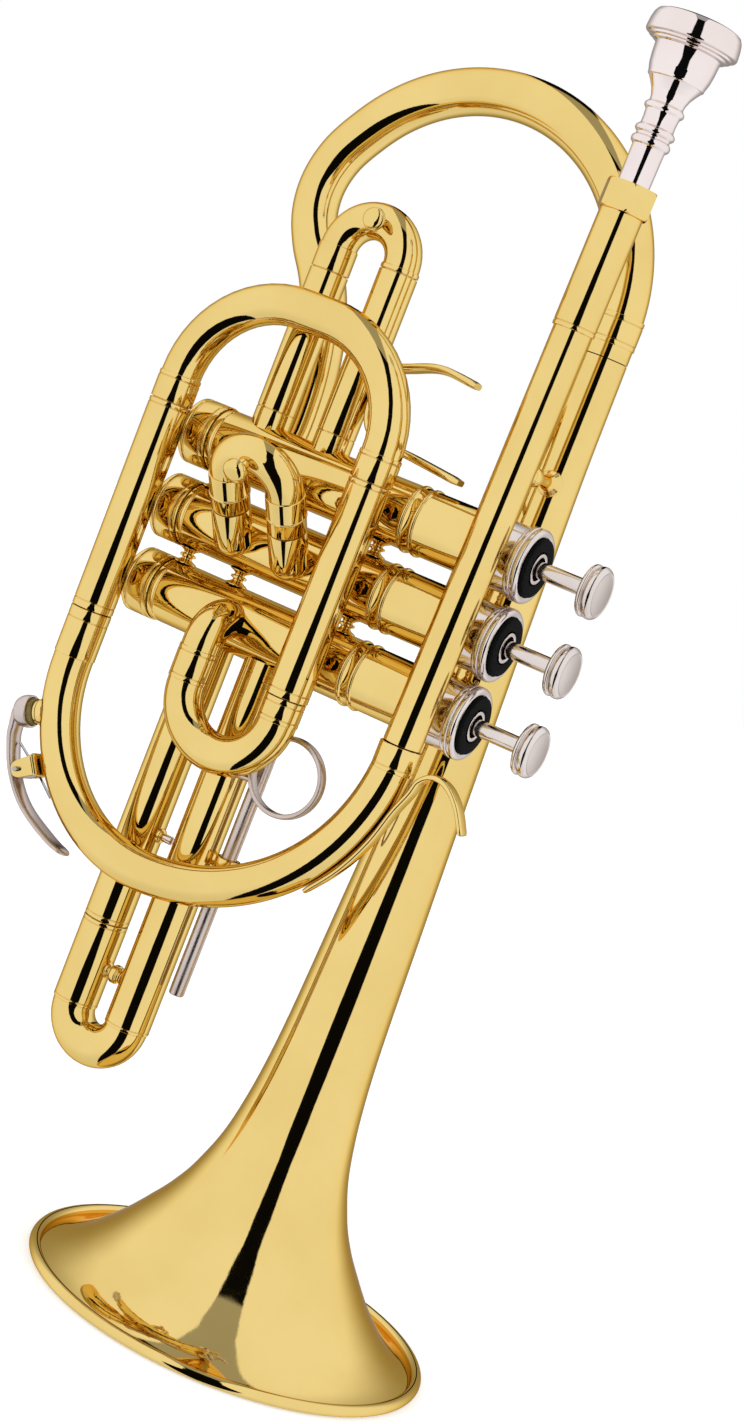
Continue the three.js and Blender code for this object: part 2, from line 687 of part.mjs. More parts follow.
function waterKey() {
  const pivot = bowPoint(KEY.pivot, KEY.pivotOut);
  const seat = BOW.r + 1.9 + 0.3;
  const cork = swept(corkSpan(seat, seat + 3), 4.1, 12);
  add("water_key_cork", cork, CORK);

  const cup = swept(corkSpan(seat + 3.3, seat + 5.6), 4.6, 12);
  const rise = [[KEY.cork - 1, 5.9], [28, 8], [KEY.pivot, 8.7], [47, 7.7], [59, 4.6], [67, 2.6]];
  const path = rise.map(([degrees, lift]) => bowPoint(degrees, seat + lift));
  const lever = strip(path.map(({ x, z }) => [x, z]), 2.8, 5).translate(0, NEAR_Y, 0);
  const barrel = alongY(pipe(2.7, 1.1, -3, 3, 12)).translate(pivot.x, pivot.y, pivot.z);
  const key = joined([cup, lever]).add(solid(barrel));
  const hole = alongY(rod(1.1, -4, 4, 12)).translate(pivot.x, pivot.y, pivot.z);
  add("water_key", geometryOf(key.subtract(solid(hole))), NICKEL);

  add("water_key_pin", alongY(rod(0.8, -6.4, 6.4, 10)).translate(pivot.x, pivot.y, pivot.z), STEEL);

  const { out } = bowAt(KEY.pivot);
  const turn = Math.atan2(out.x, out.z);
  const cheek = (side) => new THREE.BoxGeometry(5, 1.4, 7.6).translate(0, side * 4.3, KEY.pivotOut - 1.6);
  const base = new THREE.BoxGeometry(6, 10, 1.6).translate(0, 0, BOW.r + 1.4);
  const pinHole = alongY(rod(1.1, -8, 8, 12)).translate(0, 0, KEY.pivotOut);
  const bracket = joined([base, cheek(-1), cheek(1)]).subtract(solid(pinHole));
  const mesh = add("water_key_bracket", geometryOf(bracket), BRASS);
  mesh.position.copy(bowAt(KEY.pivot).centre);
  mesh.rotation.y = turn;

  const wire = [
    bowPoint(KEY.pivot + 11, BOW.r + 1),
    bowPoint(KEY.pivot, KEY.pivotOut - 3.3),
    bowPoint(KEY.pivot - 8, KEY.pivotOut + 1.1),
  ];
  add("water_key_spring", swept(wire, 0.4, 6), STEEL);
}

// ---- Bell, crook, hook and brace ----

// The flare's outer radius at points up the axis, from the rim to the tail.
const FLARE = [
  [1.3, 59.9],
  [3, 55],
  [6, 50],
  [10.3, 45],
  [15.6, 40],
  [22, 35],
  [30, 29.3],
  [40, 24.1],
  [56, 19],
  [83, 15.4],
  [130, 13],
  [200, 10],
  [264, 7.7],
  [BELL_LENGTH, CROOK_R],
];

function bell() {
  const outside = FLARE.map(([z, r]) => new THREE.Vector2(r, z));
  const inside = outside.map((point, i) => {
    const along = outside[Math.min(i + 1, outside.length - 1)].clone().sub(outside[Math.max(i - 1, 0)]);
    return point.clone().add(new THREE.Vector2(-along.y, along.x).setLength(WALL));
  });
  inside[0].set(59.6, 0.5);
  inside.at(-1).y = BELL_LENGTH;
  const wire = [
    [61, 0],
    [62.4, 0],
    [BELL_RIM_R - 0.2, 0.8],
    [BELL_RIM_R, 1.7],
    [BELL_RIM_R - 0.4, 2.8],
    [62, 3.4],
    [60.8, 3.1],
    [60.1, 2.2],
  ];
  const sheet = [...outside, ...inside.reverse()].map(({ x, y }) => [x, y]);
  add("bell", turned([...wire, ...sheet, wire[0]], 22), BRASS);
}

// The shepherd's crook, from the bell's tail over the top and down to valve 1.
function bellCrook() {
  const over = arc({ x: -CROOK_BEND, z: CROOK_Z, rx: CROOK_BEND, from: 0, to: 143, steps: 11 });
  const down = new THREE.CatmullRomCurve3([
    over.at(-1),
    vec(-105.2, 0, 336.5),
    vec(-108, 0, 326.5),
    vec(-107.2, 0, 317),
    vec(-103.3, 0, 308.5),
    vec(-97.6, 0, 300.5),
    vec(-92.6, 0, 291.5),
    vec(-88.6, 0, 280),
    vec(-86.2, 0, 266),
    vec(OUTLET_X, -1.6, 250),
    vec(OUTLET_X, -6.5, valveZ(1) + 1.4),
    vec(OUTLET_X, -13, valveZ(1)),
  ]);
  const points = [vec(0, 0, BELL_LENGTH + GAP), ...over, ...down.getSpacedPoints(14).slice(1)];
  const tube = bentPipe(points, CROOK_R).subtract(casingRoom(1));
  add("bell_crook", geometryOf(tube), BRASS);
}

function fingerHook() {
  const surface = BOW.r + GAP + 0.9;
  const foot = [-42, -32, -22, -13].map((degrees) => {
    const angle = THREE.MathUtils.degToRad(degrees);
    const rx = BOW.rightX - BOW.lowX + surface;
    const rz = BOW.rightZ - BOW.lowZ + surface;
    return [BOW.lowX + rx * Math.cos(angle), BOW.rightZ + rz * Math.sin(angle)];
  });
  const over = [[11.5, 171.8], [12.9, 176.2], [16.8, 178.9], [21.6, 177.8], [26.2, 173.8], [30.4, 167.3]];
  add("finger_hook", strip([...foot, ...over], 1.7, 5.4, 24).translate(0, NEAR_Y, 0), BRASS);
}

// Turned post between the leadpipe and the bell.
function leadpipeBrace() {
  const near = NEAR_Y + LEAD_R + GAP;
  const far = -7.65 - GAP;
  const centre = (near + far) / 2;
  const post = turned([
    [0, near],
    [4, near],
    [1.9, near + 3.5],
    [1.7, centre - 3],
    [2.9, centre],
    [1.7, centre + 3],
    [1.9, far - 3.5],
    [4, far],
    [0, far],
  ], 12);
  add("leadpipe_brace", post.rotateX(-Math.PI / 2).translate(BRACE.x, 0, BRACE.z), BRASS);
}

mouthpiece();
receiver();
leadpipe();
frontBow();
mainSlide();
inletBow();
for (let number = 1; number <= VALVE_COUNT; number++) valve(number);
CROSSOVERS.forEach((x, i) => crossover(i + 1, x));
firstSlide();
thumbSaddle();
secondSlide();
thirdSlide();
fingerRing();
stopRod();
waterKey();
bell();
bellCrook();
fingerHook();
leadpipeBrace();

export default cornet;
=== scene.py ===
"""A lacquered brass cornet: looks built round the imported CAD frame.

Shapes are worked out in millimetres and made into metres once, in make_object.
"""

import json
import math

import bmesh
import bpy
from mathutils import Matrix, Vector


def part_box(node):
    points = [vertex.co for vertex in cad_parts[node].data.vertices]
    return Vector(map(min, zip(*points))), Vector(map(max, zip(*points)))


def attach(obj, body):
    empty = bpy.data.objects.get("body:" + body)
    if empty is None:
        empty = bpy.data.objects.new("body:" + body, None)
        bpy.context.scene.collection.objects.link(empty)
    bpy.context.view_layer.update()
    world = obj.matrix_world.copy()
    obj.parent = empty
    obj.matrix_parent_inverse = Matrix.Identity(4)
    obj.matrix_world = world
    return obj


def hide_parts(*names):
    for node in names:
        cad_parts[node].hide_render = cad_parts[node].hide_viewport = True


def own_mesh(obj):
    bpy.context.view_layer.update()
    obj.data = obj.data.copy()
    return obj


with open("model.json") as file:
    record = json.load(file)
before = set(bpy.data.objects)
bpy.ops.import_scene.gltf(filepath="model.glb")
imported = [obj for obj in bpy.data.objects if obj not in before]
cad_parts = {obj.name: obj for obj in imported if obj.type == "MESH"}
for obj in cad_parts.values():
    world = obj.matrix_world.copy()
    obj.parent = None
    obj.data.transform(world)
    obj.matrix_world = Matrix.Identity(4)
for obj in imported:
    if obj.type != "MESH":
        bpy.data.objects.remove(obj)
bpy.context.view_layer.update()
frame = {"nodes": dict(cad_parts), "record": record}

MM = 0.001
GAP = 0.3  # the space the CAD leaves between two nodes
BODY_OF = {
    node: body
    for body, nodes in frame["record"]["behaviour"]["bodies"].items()
    for node in nodes
}
SLOT_OF = {row["node"]: row["material_slot"] for row in frame["record"]["subparts"]}


def box(node):
    """Lowest corner, highest corner and centre of a CAD node, in millimetres."""
    low, high = (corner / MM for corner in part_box(node))
    return low, high, (low + high) / 2


# ---- Camera, floor and light ----

CAMERA_PLACE = Vector((0.2848, -0.6744, 0.2612))
CAMERA_TURN = (24.84, 5.95, 21.54)  # degrees: round the object, above it, and the tilt of the frame
CAMERA_LENS = 63.3


def make_camera():
    azimuth, elevation, roll = (math.radians(angle) for angle in CAMERA_TURN)
    back = Vector((
        math.sin(azimuth) * math.cos(elevation),
        -math.cos(azimuth) * math.cos(elevation),
        math.sin(elevation),
    ))
    level = Vector((math.cos(azimuth), math.sin(azimuth), 0))
    upright = back.cross(level)
    right = math.cos(roll) * level + math.sin(roll) * upright
    up = back.cross(right)
    data = bpy.data.cameras.new("camera")
    data.lens = CAMERA_LENS
    data.sensor_width = 36
    data.clip_start = 0.01
    data.clip_end = 50
    camera = bpy.data.objects.new("camera", data)
    camera.matrix_world = Matrix((right, up, back)).transposed().to_4x4()
    camera.location = CAMERA_PLACE
    bpy.context.collection.objects.link(camera)
    bpy.context.scene.camera = camera


class Nodes:
    """Short calls for building a node tree."""

    def __init__(self, tree):
        self.tree = tree
        tree.nodes.clear()

    def add(self, kind, inputs=None, **settings):
        node = self.tree.nodes.new(kind)
        for name, value in settings.items():
            setattr(node, name, value)
        for name, value in (inputs or {}).items():
            if isinstance(value, bpy.types.NodeSocket):
                self.tree.links.new(value, node.inputs[name])
            else:
                node.inputs[name].default_value = value
        return node

    def math(self, operation, *values, clamp=False):
        node = self.add("ShaderNodeMath", dict(enumerate(values)), operation=operation, use_clamp=clamp)
        return node.outputs[0]

    def dot(self, vector, direction):
        node = self.add("ShaderNodeVectorMath", {0: vector, 1: direction}, operation="DOT_PRODUCT")
        return node.outputs["Value"]

    def ease(self, value, low, high, to_low=0.0, to_high=1.0):
        node = self.add(
            "ShaderNodeMapRange",
            {0: value, 1: low, 2: high, 3: to_low, 4: to_high},
            interpolation_type="SMOOTHSTEP",
        )
        return node.outputs[0]


def make_studio_light():
    """A white tent with a dark slit where it is entered, on the camera's side.

    The slit runs up the wall and on across the roof, where it is narrower and grey.
    The cloth behind the object gets less light.
    """
    slit_azimuth = math.radians(25)
    slit_blur = 0.012
    slit_light, roof_slit_light = 0.004, 0.42
    floor_side_light, wall_light, back_light = 0.9, 1.05, 0.34
    toward = (math.sin(slit_azimuth), -math.cos(slit_azimuth), 0)
    sideways = (math.cos(slit_azimuth), math.sin(slit_azimuth), 0)
    foot_width, middle_width, top_width, roof_width = 0.42, 0.25, 0.2, 0.17
    roof_start, roof_edge = 0.84, 0.86
    world = bpy.data.worlds.new("studio")
    bpy.context.scene.world = world
    world.use_nodes = True
    n = Nodes(world.node_tree)
    direction = n.add("ShaderNodeTexCoord").outputs["Generated"]
    height = n.dot(direction, (0, 0, 1))
    front = n.dot(direction, toward)
    edge = n.math("ABSOLUTE", n.dot(direction, sideways))
    width = n.ease(height, -0.32, 0.0, foot_width, middle_width)
    width = n.math("ADD", width, n.ease(height, 0.0, 0.16, 0.0, top_width - middle_width))
    width = n.math("ADD", width, n.ease(height, 0.7, 0.95, 0.0, roof_width - top_width))
    reach = n.math("MULTIPLY", n.math("MAXIMUM", front, height), width)
    inside = n.ease(n.math("SUBTRACT", reach, edge), -slit_blur, slit_blur)
    slit = n.ease(height, roof_start, roof_edge, slit_light, roof_slit_light)
    low_cloth = n.ease(height, -1.0, -0.5, floor_side_light, wall_light)
    cloth = n.math("MULTIPLY", low_cloth, n.ease(front, -1.0, -0.45, back_light, 1.0))
    level = n.add("ShaderNodeMix", {0: inside, 2: cloth, 3: slit}).outputs[0]
    seen = n.add("ShaderNodeLightPath").outputs["Is Camera Ray"]
    shown = n.add("ShaderNodeMix", {0: seen, 2: level, 3: 1.0}).outputs[0]
    background = n.add("ShaderNodeBackground", {"Color": (1, 1, 1, 1), "Strength": shown})
    n.add("ShaderNodeOutputWorld", {"Surface": background.outputs[0]})


def make_floor():
    mesh = bpy.data.meshes.new("floor")
    radius = 4
    sides = 64
    angles = (2 * math.pi * i / sides for i in range(sides))
    corners = [(radius * math.cos(a), radius * math.sin(a), 0) for a in angles]
    mesh.from_pydata(corners, [], [tuple(range(sides))])
    floor = bpy.data.objects.new("floor", mesh)
    bpy.context.collection.objects.link(floor)
    material, n = new_material("pale_floor")
    shader = n.add("ShaderNodeBsdfPrincipled", {
        "Base Color": (0.93, 0.93, 0.93, 1),
        "Roughness": 0.9,
        "Emission Color": (1, 1, 1, 1),
        "Emission Strength": 0.36,
    })
    n.add("ShaderNodeOutputMaterial", {"Surface": shader.outputs[0]})
    mesh.materials.append(material)
    floor.visible_glossy = False


# ---- Materials ----

def new_material(name):
    material = bpy.data.materials.new(name)
    material.use_nodes = True
    return material, Nodes(material.node_tree)


def polished_metal(name, dark, light, edge, gloss=(0.05, 0.09), coat=0.0, lines=0.0):
    """Polished metal: faint clouding of colour and gloss, fine polishing marks, and turning lines.

    edge tints the reflections at a grazing angle, and gloss is the least and most roughness.
    """
    material, n = new_material(name)
    place = n.add("ShaderNodeTexCoord").outputs["Object"]
    cloud = n.add("ShaderNodeTexNoise", {"Vector": place, "Scale": 38.0, "Detail": 4.0}).outputs["Fac"]
    smear = n.add("ShaderNodeTexNoise", {"Vector": place, "Scale": 210.0, "Detail": 5.0}).outputs["Fac"]
    share = n.ease(cloud, 0.3, 0.7)
    colour = n.add("ShaderNodeMix", {0: share, 6: (*dark, 1), 7: (*light, 1)}, data_type="RGBA")
    rough = n.ease(smear, 0.35, 0.75, *gloss)
    stretched = n.add("ShaderNodeMapping", {"Vector": place, "Scale": (900, 900, 90)}).outputs[0]
    marks = n.add("ShaderNodeTexNoise", {"Vector": stretched, "Scale": 1.0, "Detail": 3.0}).outputs["Fac"]
    bump = n.add("ShaderNodeBump", {"Height": marks, "Strength": 0.012, "Distance": 0.0004})
    normal = bump.outputs[0]
    if lines:
        along = n.add("ShaderNodeSeparateXYZ", {0: n.add("ShaderNodeTexCoord").outputs["UV"]}).outputs[1]
        wave = n.math("SINE", n.math("MULTIPLY", along, 26.0))
        normal = n.add(
            "ShaderNodeBump", {"Height": wave, "Strength": lines, "Distance": 0.00003, "Normal": normal}
        ).outputs[0]
    shader = n.add("ShaderNodeBsdfPrincipled", {
        "Base Color": colour.outputs[2],
        "Metallic": 1.0,
        "Specular Tint": (*edge, 1),
        "Roughness": rough,
        "Coat Weight": coat,
        "Coat Roughness": 0.03,
        "Normal": normal,
    })
    n.add("ShaderNodeOutputMaterial", {"Surface": shader.outputs[0]})
    return material


def felt_material():
    material, n = new_material("felt_pressed")
    place = n.add("ShaderNodeTexCoord").outputs["Object"]
    fluff = n.add("ShaderNodeTexNoise", {"Vector": place, "Scale": 1400.0, "Detail": 6.0}).outputs["Fac"]
    tint = n.add("ShaderNodeMix", {0: fluff, 6: (0.002, 0.002, 0.002, 1), 7: (0.009, 0.009, 0.01, 1)},
                 data_type="RGBA")
    bump = n.add("ShaderNodeBump", {"Height": fluff, "Strength": 0.5, "Distance": 0.0004})
    shader = n.add("ShaderNodeBsdfPrincipled", {
        "Base Color": tint.outputs[2],
        "Roughness": 0.95,
        "Specular IOR Level": 0.08,
        "Sheen Weight": 0.02,
        "Normal": bump.outputs[0],
    })
    n.add("ShaderNodeOutputMaterial", {"Surface": shader.outputs[0]})
    return material


def cork_material():
    material, n = new_material("cork_cut")
    place = n.add("ShaderNodeTexCoord").outputs["Object"]
    cells = n.add("ShaderNodeTexVoronoi", {"Vector": place, "Scale": 1500.0}).outputs["Distance"]
    grain = n.add("ShaderNodeTexNoise", {"Vector": place, "Scale": 500.0, "Detail": 6.0}).outputs["Fac"]
    tint = n.add("ShaderNodeMix", {0: grain, 6: (0.09, 0.055, 0.012, 1), 7: (0.34, 0.25, 0.07, 1)},
                 data_type="RGBA")
    pits = n.add("ShaderNodeBump", {"Height": cells, "Strength": 0.6, "Distance": 0.0003})
    shader = n.add("ShaderNodeBsdfPrincipled", {
        "Base Color": tint.outputs[2],
        "Roughness": 0.85,
        "Normal": pits.outputs[0],
    })
    n.add("ShaderNodeOutputMaterial", {"Surface": shader.outputs[0]})
    return material


BRASS_EDGE = (0.95, 0.66, 0.3)
PLATE_EDGE = (0.9, 0.84, 0.82)
MATERIALS = {
    "lacquered_brass": polished_metal(
        "brass_lacquered", (0.77, 0.57, 0.2), (0.815, 0.615, 0.23), BRASS_EDGE,
        gloss=(0.03, 0.055), coat=0.04),
    "plain_brass": polished_metal(
        "brass_turned", (0.66, 0.49, 0.2), (0.74, 0.56, 0.25), BRASS_EDGE, gloss=(0.12, 0.2), lines=0.3),
    "nickel_plate": polished_metal(
        "nickel_plated", (0.68, 0.61, 0.58), (0.76, 0.7, 0.67), PLATE_EDGE, gloss=(0.1, 0.18)),
    "silver_plate": polished_metal(
        "silver_plated", (0.8, 0.71, 0.69), (0.85, 0.77, 0.75), PLATE_EDGE, gloss=(0.03, 0.06)),
    "spring_steel": polished_metal(
        "steel_wire", (0.42, 0.42, 0.44), (0.55, 0.55, 0.57), PLATE_EDGE, gloss=(0.18, 0.28)),
    "black_felt": felt_material(),
    "cork": cork_material(),
}
# A rougher, satin copy of the nickel plate for the water key, finger ring and stop rod. Its colours are
# also darkened below the plate's as painted shade, standing for the darker reflections these parts show.
SATIN_SHADED_PLATE = polished_metal("nickel_satin_painted_shade", (0.56, 0.47, 0.44), (0.65, 0.56, 0.53), PLATE_EDGE,
                            gloss=(0.26, 0.36))


# ---- Shapes ----

def arc(radius, start, end, steps):
    """Points [a, b] on a circle about the origin, angles in degrees from the first axis."""
    angles = (math.radians(start + (end - start) * i / steps) for i in range(steps + 1))
    return [(radius * math.cos(a), radius * math.sin(a)) for a in angles]


def rounded(points, radius, steps=3, closed=False):
    """An outline with its corners rounded, each by radius or as much as its sides allow."""
    most_of_side = 0.45
    least_reach = 0.02
    straight_cosine = -0.995
    flat = [Vector(point) for point in points]
    count = len(flat)
    out = []
    for i, corner in enumerate(flat):
        if not closed and i in (0, count - 1):
            out.append(corner)
            continue
        before, after = flat[i - 1] - corner, flat[(i + 1) % count] - corner
        reach = min(radius, most_of_side * before.length, most_of_side * after.length)
        straight = before.normalized().dot(after.normalized()) < straight_cosine
        if straight or reach < least_reach:
            out.append(corner)
            continue
        start, end = corner + before.normalized() * reach, corner + after.normalized() * reach
        for k in range(steps + 1):
            t = k / steps
            out.append((1 - t) ** 2 * start + 2 * t * (1 - t) * corner + t * t * end)
    return out


def smooth_curve(points, per_span=6):
    """A smooth curve through the points, in any dimension."""
    spots = [Vector(point) for point in points]
    ends = [2 * spots[0] - spots[1], *spots, 2 * spots[-1] - spots[-2]]
    out = []
    for i in range(1, len(ends) - 2):
        a, b, c, d = ends[i - 1:i + 3]
        for k in range(per_span):
            t = k / per_span
            out.append(0.5 * (2 * b + (c - a) * t + (2 * a - 5 * b + 4 * c - d) * t * t
                              + (3 * b - a - 3 * c + d) * t ** 3))
    return [*out, spots[-1]]


class Shape:
    """Vertices, faces and their UVs, in millimetres."""

    def __init__(self, verts=(), faces=(), uvs=()):
        self.verts, self.faces, self.uvs = list(verts), list(faces), list(uvs)

    def placed(self, matrix):
        return Shape([matrix @ Vector(v) for v in self.verts], self.faces, self.uvs)

    def moved(self, x=0.0, y=0.0, z=0.0):
        return self.placed(Matrix.Translation((x, y, z)))

    def __add__(self, other):
        shift = len(self.verts)
        faces = [tuple(i + shift for i in face) for face in other.faces]
        return Shape(self.verts + other.verts, self.faces + faces, self.uvs + other.uvs)


def along_x(shape):
    """Turns a shape's Z axis to X."""
    return shape.placed(Matrix.Rotation(math.pi / 2, 4, "Y"))


def along_y(shape):
    """Turns a shape's Z axis to Y."""
    return shape.placed(Matrix.Rotation(-math.pi / 2, 4, "X"))


def skin(rings, loop=False, lengths=None):
    """A surface over closed rings of points. A ring of one point closes the surface there.

    loop joins the last ring to the first. lengths gives each ring's place along the surface, for its UVs.
    """
    shape = Shape()
    starts = []
    for ring in rings:
        starts.append(len(shape.verts))
        shape.verts += [Vector(point) for point in ring]
    count = max(len(ring) for ring in rings)
    lengths = lengths or list(range(len(rings)))
    pairs = [(i, i + 1) for i in range(len(rings) - 1)]
    if loop:
        pairs.append((len(rings) - 1, 0))
    for a, b in pairs:
        for k in range(count):
            step = (k + 1) % count
            corners = []
            marks = []
            for ring, index, u in ((a, k, k), (a, step, k + 1), (b, step, k + 1), (b, k, k)):
                single = len(rings[ring]) == 1
                corner = starts[ring] + (0 if single else index)
                if corner not in corners:
                    corners.append(corner)
                    marks.append((u / count, lengths[ring]))
            if len(corners) > 2:
                shape.faces.append(tuple(corners))
                shape.uvs.append(marks)
    return shape


def circle(radius, height, segments):
    """Points round the Z axis at a height."""
    angles = (2 * math.pi * k / segments for k in range(segments))
    return [(radius * math.cos(a), radius * math.sin(a), height) for a in angles]


def turned(profile, segments=72, closed=False):
    """A turned solid about Z, from points [radius, height] listed upward along its outside."""
    on_axis = 1e-6
    rings, lengths, total, last = [], [], 0.0, None
    for radius, height in profile:
        if last is not None:
            total += math.dist(last, (radius, height))
        last = (radius, height)
        lengths.append(total)
        rings.append([(0, 0, height)] if radius < on_axis else circle(radius, height, segments))
    return skin(rings, loop=closed, lengths=lengths)


def solid_rod(radius, low, high, bevel):
    return turned(rounded([(0, low), (radius, low), (radius, high), (0, high)], bevel), 48)


def ring_tube(outer, bore, low, high, bevel=0.25, segments=64):
    """A straight open tube with softened edges."""
    return turned(rounded([(bore, low), (outer, low), (outer, high), (bore, high)], bevel, closed=True),
                  segments, closed=True)


def direction_at(spots, i):
    """The direction of a path at one of its points, from the points beside it."""
    return (spots[min(i + 1, len(spots) - 1)] - spots[max(i - 1, 0)]).normalized()


def sweep(points, radii, segments=40, cap=True):
    """A round bar along a path of points, with a radius for each point or one for all."""
    nearly_along_y = 0.2
    spots = [Vector(point) for point in points]
    count = len(spots)
    sizes = radii if isinstance(radii, list) else [radii] * count
    tangents = [direction_at(spots, i) for i in range(count)]
    across = tangents[0].cross(Vector((0, 1, 0)))
    if across.length < nearly_along_y:
        across = tangents[0].cross(Vector((1, 0, 0)))
    rings, lengths, total = [], [], 0.0
    for i, spot in enumerate(spots):
        across = (across - across.dot(tangents[i]) * tangents[i]).normalized()
        other = tangents[i].cross(across)
        angles = (2 * math.pi * k / segments for k in range(segments))
        rings.append([spot + sizes[i] * (math.cos(a) * across + math.sin(a) * other) for a in angles])
        total += (spot - spots[i - 1]).length if i else 0.0
        lengths.append(total)
    if cap:
        rings = [[spots[0]], *rings, [spots[-1]]]
        lengths = [0.0, *lengths, total]
    return skin(rings, lengths=lengths)


def slab(outline, depth, bevel):
    """A plate with its outline [x, z] and its depth along Y, edges softened."""
    steps = 3
    flat = [Vector(point) for point in outline]
    count = len(flat)
    area = sum(flat[i - 1].cross(flat[i]) for i in range(count))
    turn = 1 if area > 0 else -1
    normals = []
    for i in range(count):
        edge = (flat[(i + 1) % count] - flat[i - 1]).normalized()
        normals.append(Vector((edge.y, -edge.x)) * turn)
    levels = []
    for k in range(steps + 1):
        a = math.pi / 2 * k / steps
        levels.append((bevel * (1 - math.sin(a)), -depth / 2 + bevel * (1 - math.cos(a))))
    levels += [(inset, -y) for inset, y in reversed(levels)]
    rings = [[(p.x - n.x * inset, y, p.y - n.y * inset) for p, n in zip(flat, normals)]
             for inset, y in levels]
    shape = skin(rings)
    last = len(shape.verts)
    shape.faces += [tuple(range(count)), tuple(range(last - count, last))]
    shape.uvs += [[(0, 0)] * count, [(0, 0)] * count]
    return shape


def make_object(name, shape, material):
    """A Blender object from a shape, in metres. Edges that turn by more than sharp degrees stay crisp."""
    sharp = 32
    mesh = bpy.data.meshes.new(name)
    mesh.from_pydata([Vector(v) * MM for v in shape.verts], [], shape.faces)
    layer = mesh.uv_layers.new(name="UVMap")
    layer.data.foreach_set("uv", [value for face in shape.uvs for mark in face for value in mark])
    mesh.validate()
    bm = bmesh.new()
    bm.from_mesh(mesh)
    bmesh.ops.recalc_face_normals(bm, faces=bm.faces)
    bm.to_mesh(mesh)
    bm.free()
    mesh.shade_smooth()
    mesh.set_sharp_from_angle(angle=math.radians(sharp))
    mesh.materials.append(material)
    piece = bpy.data.objects.new(name, mesh)
    bpy.context.collection.objects.link(piece)
    return piece


def stand_beside(node, shape, part, slot=None):
    """Makes a piece that moves with a CAD node's body, in the node's slot or another."""
    slot = slot or SLOT_OF[node]
    piece = make_object(f"{node}_{part}", shape, MATERIALS[slot])
    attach(piece, BODY_OF[node])
    return piece


def stand_for(node, shape):
    """Makes the finished piece that stands for a CAD node and moves with its body."""
    piece = stand_beside(node, shape, "finished")
    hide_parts(node)
    return piece


def stand_satin_shaded(node, shape):
    """A nickel piece with a rougher satin finish, its colour darkened below the plate's as painted shade.
    """
    stand_for(node, shape).data.materials[0] = SATIN_SHADED_PLATE


def at_valve(number, shape):
    """Puts a shape worked out about a valve's own axis in place."""
    return shape.moved(y=VALVE_Y, z=valve_z(number))


# ---- Places read from the CAD frame, and the valves' sizes ----

CASING_LOW, CASING_HIGH, CASING_MIDDLE = box("valve_casing_1")
VALVE_Y = CASING_MIDDLE.y
NEAR_Y = box("leadpipe")[2].y
LEAD_X = 4.5
CASING_R = 9.7
CASING_BORE = 8.8
THREAD_R = 9.25
TUBE_END = CASING_R - 2.2  # from a valve's axis to the end of a tube that is soldered to its casing


def valve_z(number):
    """The height of a valve's axis."""
    return box(f"bottom_cap_{number}")[2].z


# ---- Valves ----

def casing_shape():
    """Casing with a groove near its foot, two soldered beads in its upper third, and a band near its top.

    Heights are X in the part's frame, as in every turned valve piece.
    """
    bottom, top = CASING_LOW.x, CASING_HIGH.x
    groove = CASING_R - 0.22
    bead_side, bead_crest = CASING_R + 0.35, CASING_R + 0.6
    band = CASING_R + 0.25
    outside = rounded([
        (CASING_BORE, bottom), (THREAD_R, bottom), (THREAD_R, -95.6),
        (CASING_R, -95.7), (CASING_R, -93.9), (groove, -93.8), (groove, -93.3), (CASING_R, -93.2),
        (CASING_R, -27.3), (bead_side, -27.1), (bead_crest, -26.5), (bead_side, -25.9), (CASING_R, -25.7),
        (CASING_R, -23.5), (bead_side, -23.3), (bead_crest, -22.7), (bead_side, -22.1), (CASING_R, -21.9),
        (CASING_R, -3.6), (band, -3.4), (band, -0.8), (CASING_R, -0.6),
        (CASING_R, 1.7), (THREAD_R, 1.8), (THREAD_R, top), (CASING_BORE, top),
    ], 0.3, steps=2, closed=True)
    return along_x(turned(outside, 96, closed=True))


def baluster_shape():
    """A little turned post from one casing to the next, with feet, a waist and a middle bead."""
    low = CASING_R - 0.15
    span = valve_z(1) - valve_z(2) - 2 * low
    middle = span / 2
    profile = [(0, 0), (3.5, 0), (3.3, 0.35), (2.1, 0.9), (1.55, 1.35), (1.6, middle - 0.55),
               (2.5, middle - 0.35), (2.5, middle + 0.35), (1.6, middle + 0.55),
               (1.55, span - 1.35), (2.1, span - 0.9), (3.3, span - 0.35), (3.5, span), (0, span)]
    return turned(rounded(profile, 0.25, steps=2), 40).moved(z=low)


def bottom_cap_shape():
    """Bottom cap: dished in its middle, with a groove and a fine line round its side."""
    low, high, _ = box("bottom_cap_1")
    radius = (high.z - low.z) / 2
    foot, mouth = low.x, high.x
    groove, line = radius - 0.3, radius - 0.25
    bore, floor = THREAD_R + GAP, CASING_LOW.x - GAP
    profile = rounded([
        (0, foot + 0.5), (3.1, foot + 0.5), (3.3, foot), (radius - 1.1, foot),
        (radius, foot + 1.1), (radius, foot + 2.1), (groove, foot + 2.3), (groove, foot + 2.8),
        (radius, foot + 3), (radius, mouth - 1.9), (line, mouth - 1.8), (line, mouth - 1.5),
        (radius, mouth - 1.4), (radius, mouth), (bore, mouth), (bore, floor), (0, floor),
    ], 0.35)
    return along_x(turned(profile, 96))


